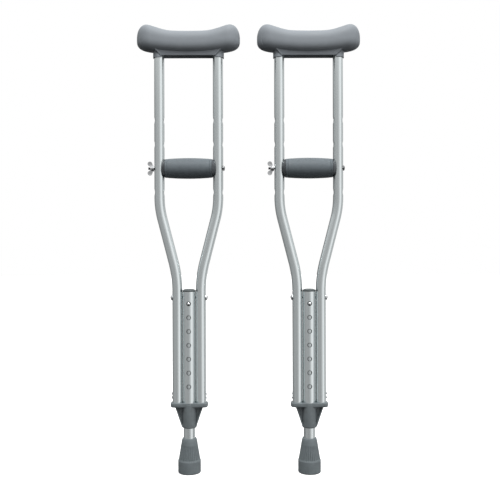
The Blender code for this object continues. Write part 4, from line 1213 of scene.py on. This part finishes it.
# Part, its mesh, its material slot and the body that it rides on
PARTS = [
    ("underarm_pad", pad_mesh(), "pad_rubber", "frame"),
    ("centre_tube", centre_tube_mesh(), "tube_aluminium", "frame"),
    ("centre_tube_cap", cap_mesh(), "yoke_plastic", "frame"),
    ("upper_rivet", upper_rivet_mesh(), "bright_steel", "frame"),
    ("yoke", yoke_mesh(), "yoke_plastic", "frame"),
    ("grip_cushion", cushion_mesh(), "grip_rubber", "frame"),
    ("grip_bolt", bolt_mesh(), "dark_steel", "frame"),
    ("nut_washer", washer_mesh(), "bright_steel", "nut_washer"),
    ("wing_nut", wing_nut_mesh(), "bright_steel", "wing_nut"),
    ("leg_tube", leg_tube_mesh(), "tube_aluminium", "leg"),
    ("foot_tip", foot_tip_mesh(), "foot_rubber", "leg"),
    ("snap_button", button_mesh(), "bright_steel", "button"),
    ("button_spring", spring_mesh(), "spring_steel", "leg"),
]
for side_name, side in SIDES:
    PARTS.append((f"bow_{side_name}", bow_mesh(side), "tube_aluminium", "frame"))
    PARTS.append((f"grip_saddle_{side_name}", saddle_mesh(side), "saddle_plastic", "frame"))
for side, first in ((-1, 1), (1, 3)):
    for number in (first, first + 1):
        PARTS.append((f"yoke_rivet_{number}", yoke_rivet_mesh(side, number), "bright_steel", "frame"))

for crutch in CRUTCHES:
    for part, mesh, slot, body in PARTS:
        piece = put(crutch, part, mesh, slot, body, (part,))
        if part == "button_spring":
            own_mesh(piece)
    put(crutch, "yoke_gate_mark", pip_mesh(), "yoke_plastic", "frame")

for name, cad_piece in frame["nodes"].items():
    if cad_piece.hide_render:
        continue
    slot = next(row["material_slot"] for row in frame["record"]["subparts"] if row["node"] == name)
    cad_piece.data.materials.clear()
    cad_piece.data.materials.append(MATERIALS[slot])


# ---- Floor, light and camera ----

def floor():
    bm = bmesh.new()
    bmesh.ops.create_circle(bm, cap_ends=True, radius=12.0, segments=96)
    mesh = bpy.data.meshes.new("floor")
    bm.to_mesh(mesh)
    bm.free()
    mesh.materials.append(surface(
        "floor_paper", (0.97, 0.97, 0.97), 0.9, (3.0, 0.01), (300.0, 0.02, 0.0002),
        Specular_IOR_Level=0.0, Emission_Color=(1, 1, 1, 1), Emission_Strength=0.45))
    made = add_object("floor", mesh)
    made.visible_diffuse = False
    made.visible_glossy = False


WORLD_STRENGTH = 1.30
FILL_STRENGTH = 1.20  # for matt surfaces
SKY_LEVEL = 0.95


def share_of_turn(degrees):
    """Place in a ramp round about of a direction, in degrees to the right of straight in front."""
    azimuth = atan2(sin(radians(degrees)), -cos(radians(degrees)))
    return (azimuth + pi) / (2 * pi)


def all_round(levels):
    return sorted((share_of_turn(degrees), level) for degrees, level in levels)


# Brightness round about, for shiny and for matt surfaces: degrees to the right, level
AROUND = all_round((
    (-179.9, 0.24), (-150, 0.10), (-120, 0.22), (-90, 0.30), (-45, 0.34), (0, 0.40), (20, 0.48), (36, 0.80),
    (58, 0.84), (76, 0.50), (88, 0.40), (120, 0.46), (150, 0.46), (165, 0.34), (179.9, 0.24)))
AROUND_MATT = all_round((
    (-179.9, 0.62), (-120, 0.5), (-95, 0.10), (-45, 0.16), (0, 0.38), (20, 0.48), (36, 0.84), (58, 0.92),
    (85, 0.50), (110, 0.5), (179.9, 0.62)))
# From straight below (0) to straight above (1): where the sky comes in, and where it darkens below
ABOVE = ((0.60, 0.0), (0.80, 1.0))
BELOW = ((0.28, 0.05), (0.36, 1.0))
BELOW_ASIDE = ((0.06, 0.25), (0.17, 1.0))  # at the sides and behind, for shiny surfaces
ASIDE = all_round(((-179.9, 1.0), (-65, 1.0), (-40, 0.0), (40, 0.0), (65, 1.0), (179.9, 1.0)))


def studio_world():
    """Soft studio surroundings: bright above, dark below, and a tall soft box at the front right."""
    world = bpy.data.worlds.new("studio")
    world.use_nodes = True
    tree = world.node_tree
    tree.nodes.clear()

    def mixed(factor, first, second, blend="MIX"):
        return node(tree, "MixRGB", {"Fac": factor, "Color1": first, "Color2": second},
                    blend_type=blend).outputs[0]

    def mapped(value, **limits):
        names = {key.replace("_", " "): limit for key, limit in limits.items()}
        return node(tree, "MapRange", {"Value": value, **names}).outputs["Result"]

    direction = node(tree, "TexCoord").outputs["Generated"]
    parts = node(tree, "SeparateXYZ", {"Vector": direction}).outputs
    azimuth = node(tree, "Math", {0: parts["X"], 1: parts["Y"]}, operation="ARCTAN2").outputs[0]
    turn = mapped(azimuth, From_Min=-pi, From_Max=pi)
    height = mapped(parts["Z"], From_Min=-1.0, From_Max=1.0)
    path = node(tree, "LightPath").outputs
    matt = path["Is Diffuse Ray"]
    round_about = mixed(matt, ramp(tree, turn, AROUND), ramp(tree, turn, AROUND_MATT))
    with_sky = mixed(ramp(tree, height, ABOVE), round_about, (SKY_LEVEL, SKY_LEVEL, SKY_LEVEL, 1.0))
    aside = node(tree, "Math", {0: ramp(tree, turn, ASIDE), 1: matt}, operation="SUBTRACT",
                 use_clamp=True).outputs[0]
    below = mixed(aside, ramp(tree, height, BELOW), ramp(tree, height, BELOW_ASIDE))
    dimmed = mixed(1.0, with_sky, below, blend="MULTIPLY")
    strength = mapped(matt, To_Min=WORLD_STRENGTH, To_Max=FILL_STRENGTH)
    lit = node(tree, "Background", {"Color": dimmed, "Strength": strength}).outputs[0]
    plain = node(tree, "Background", {"Color": (1, 1, 1, 1), "Strength": 1.0}).outputs[0]
    chosen = node(tree, "MixShader", {0: path["Is Camera Ray"], 1: lit, 2: plain}).outputs[0]
    node(tree, "OutputWorld", {"Surface": chosen})
    bpy.context.scene.world = world


LIGHT_AIM = Vector((0, 0, 0.5))


def soft_light(name, turn, elevation, distance, diameter, power):
    """Round lamp aimed at LIGHT_AIM; turn is in degrees to the right of straight in front of it."""
    data = bpy.data.lights.new(name, "AREA")
    data.shape = "DISK"
    data.size = diameter
    data.energy = power
    made = add_object(name, data)
    turn, elevation = radians(turn), radians(elevation)
    level = distance * cos(elevation)
    away = Vector((level * sin(turn), -level * cos(turn), distance * sin(elevation)))
    made.location = LIGHT_AIM + away
    made.rotation_euler = away.to_track_quat("Z", "Y").to_euler()


CAMERA_DISTANCE = 1.50
CAMERA_HEIGHT = 0.485
CAMERA_ASIDE = 0.0022
CAMERA_ROLL = radians(0.15)
CAMERA_HALF_WIDTH = 0.364431487  # of the picture, as a share of its distance
CAMERA_VIEW_ANGLE = 2 * atan(CAMERA_HALF_WIDTH)


def camera():
    data = bpy.data.cameras.new("camera")
    data.angle = CAMERA_VIEW_ANGLE
    made = add_object("camera", data)
    made.location = (CAMERA_ASIDE, -CAMERA_DISTANCE, CAMERA_HEIGHT)
    made.rotation_euler = (pi / 2, CAMERA_ROLL, 0)
    bpy.context.scene.camera = made


floor()
studio_world()
soft_light("key", turn=10, elevation=62, distance=2.6, diameter=1.0, power=52)
camera()
bpy.context.scene.view_settings.view_transform = "Standard"
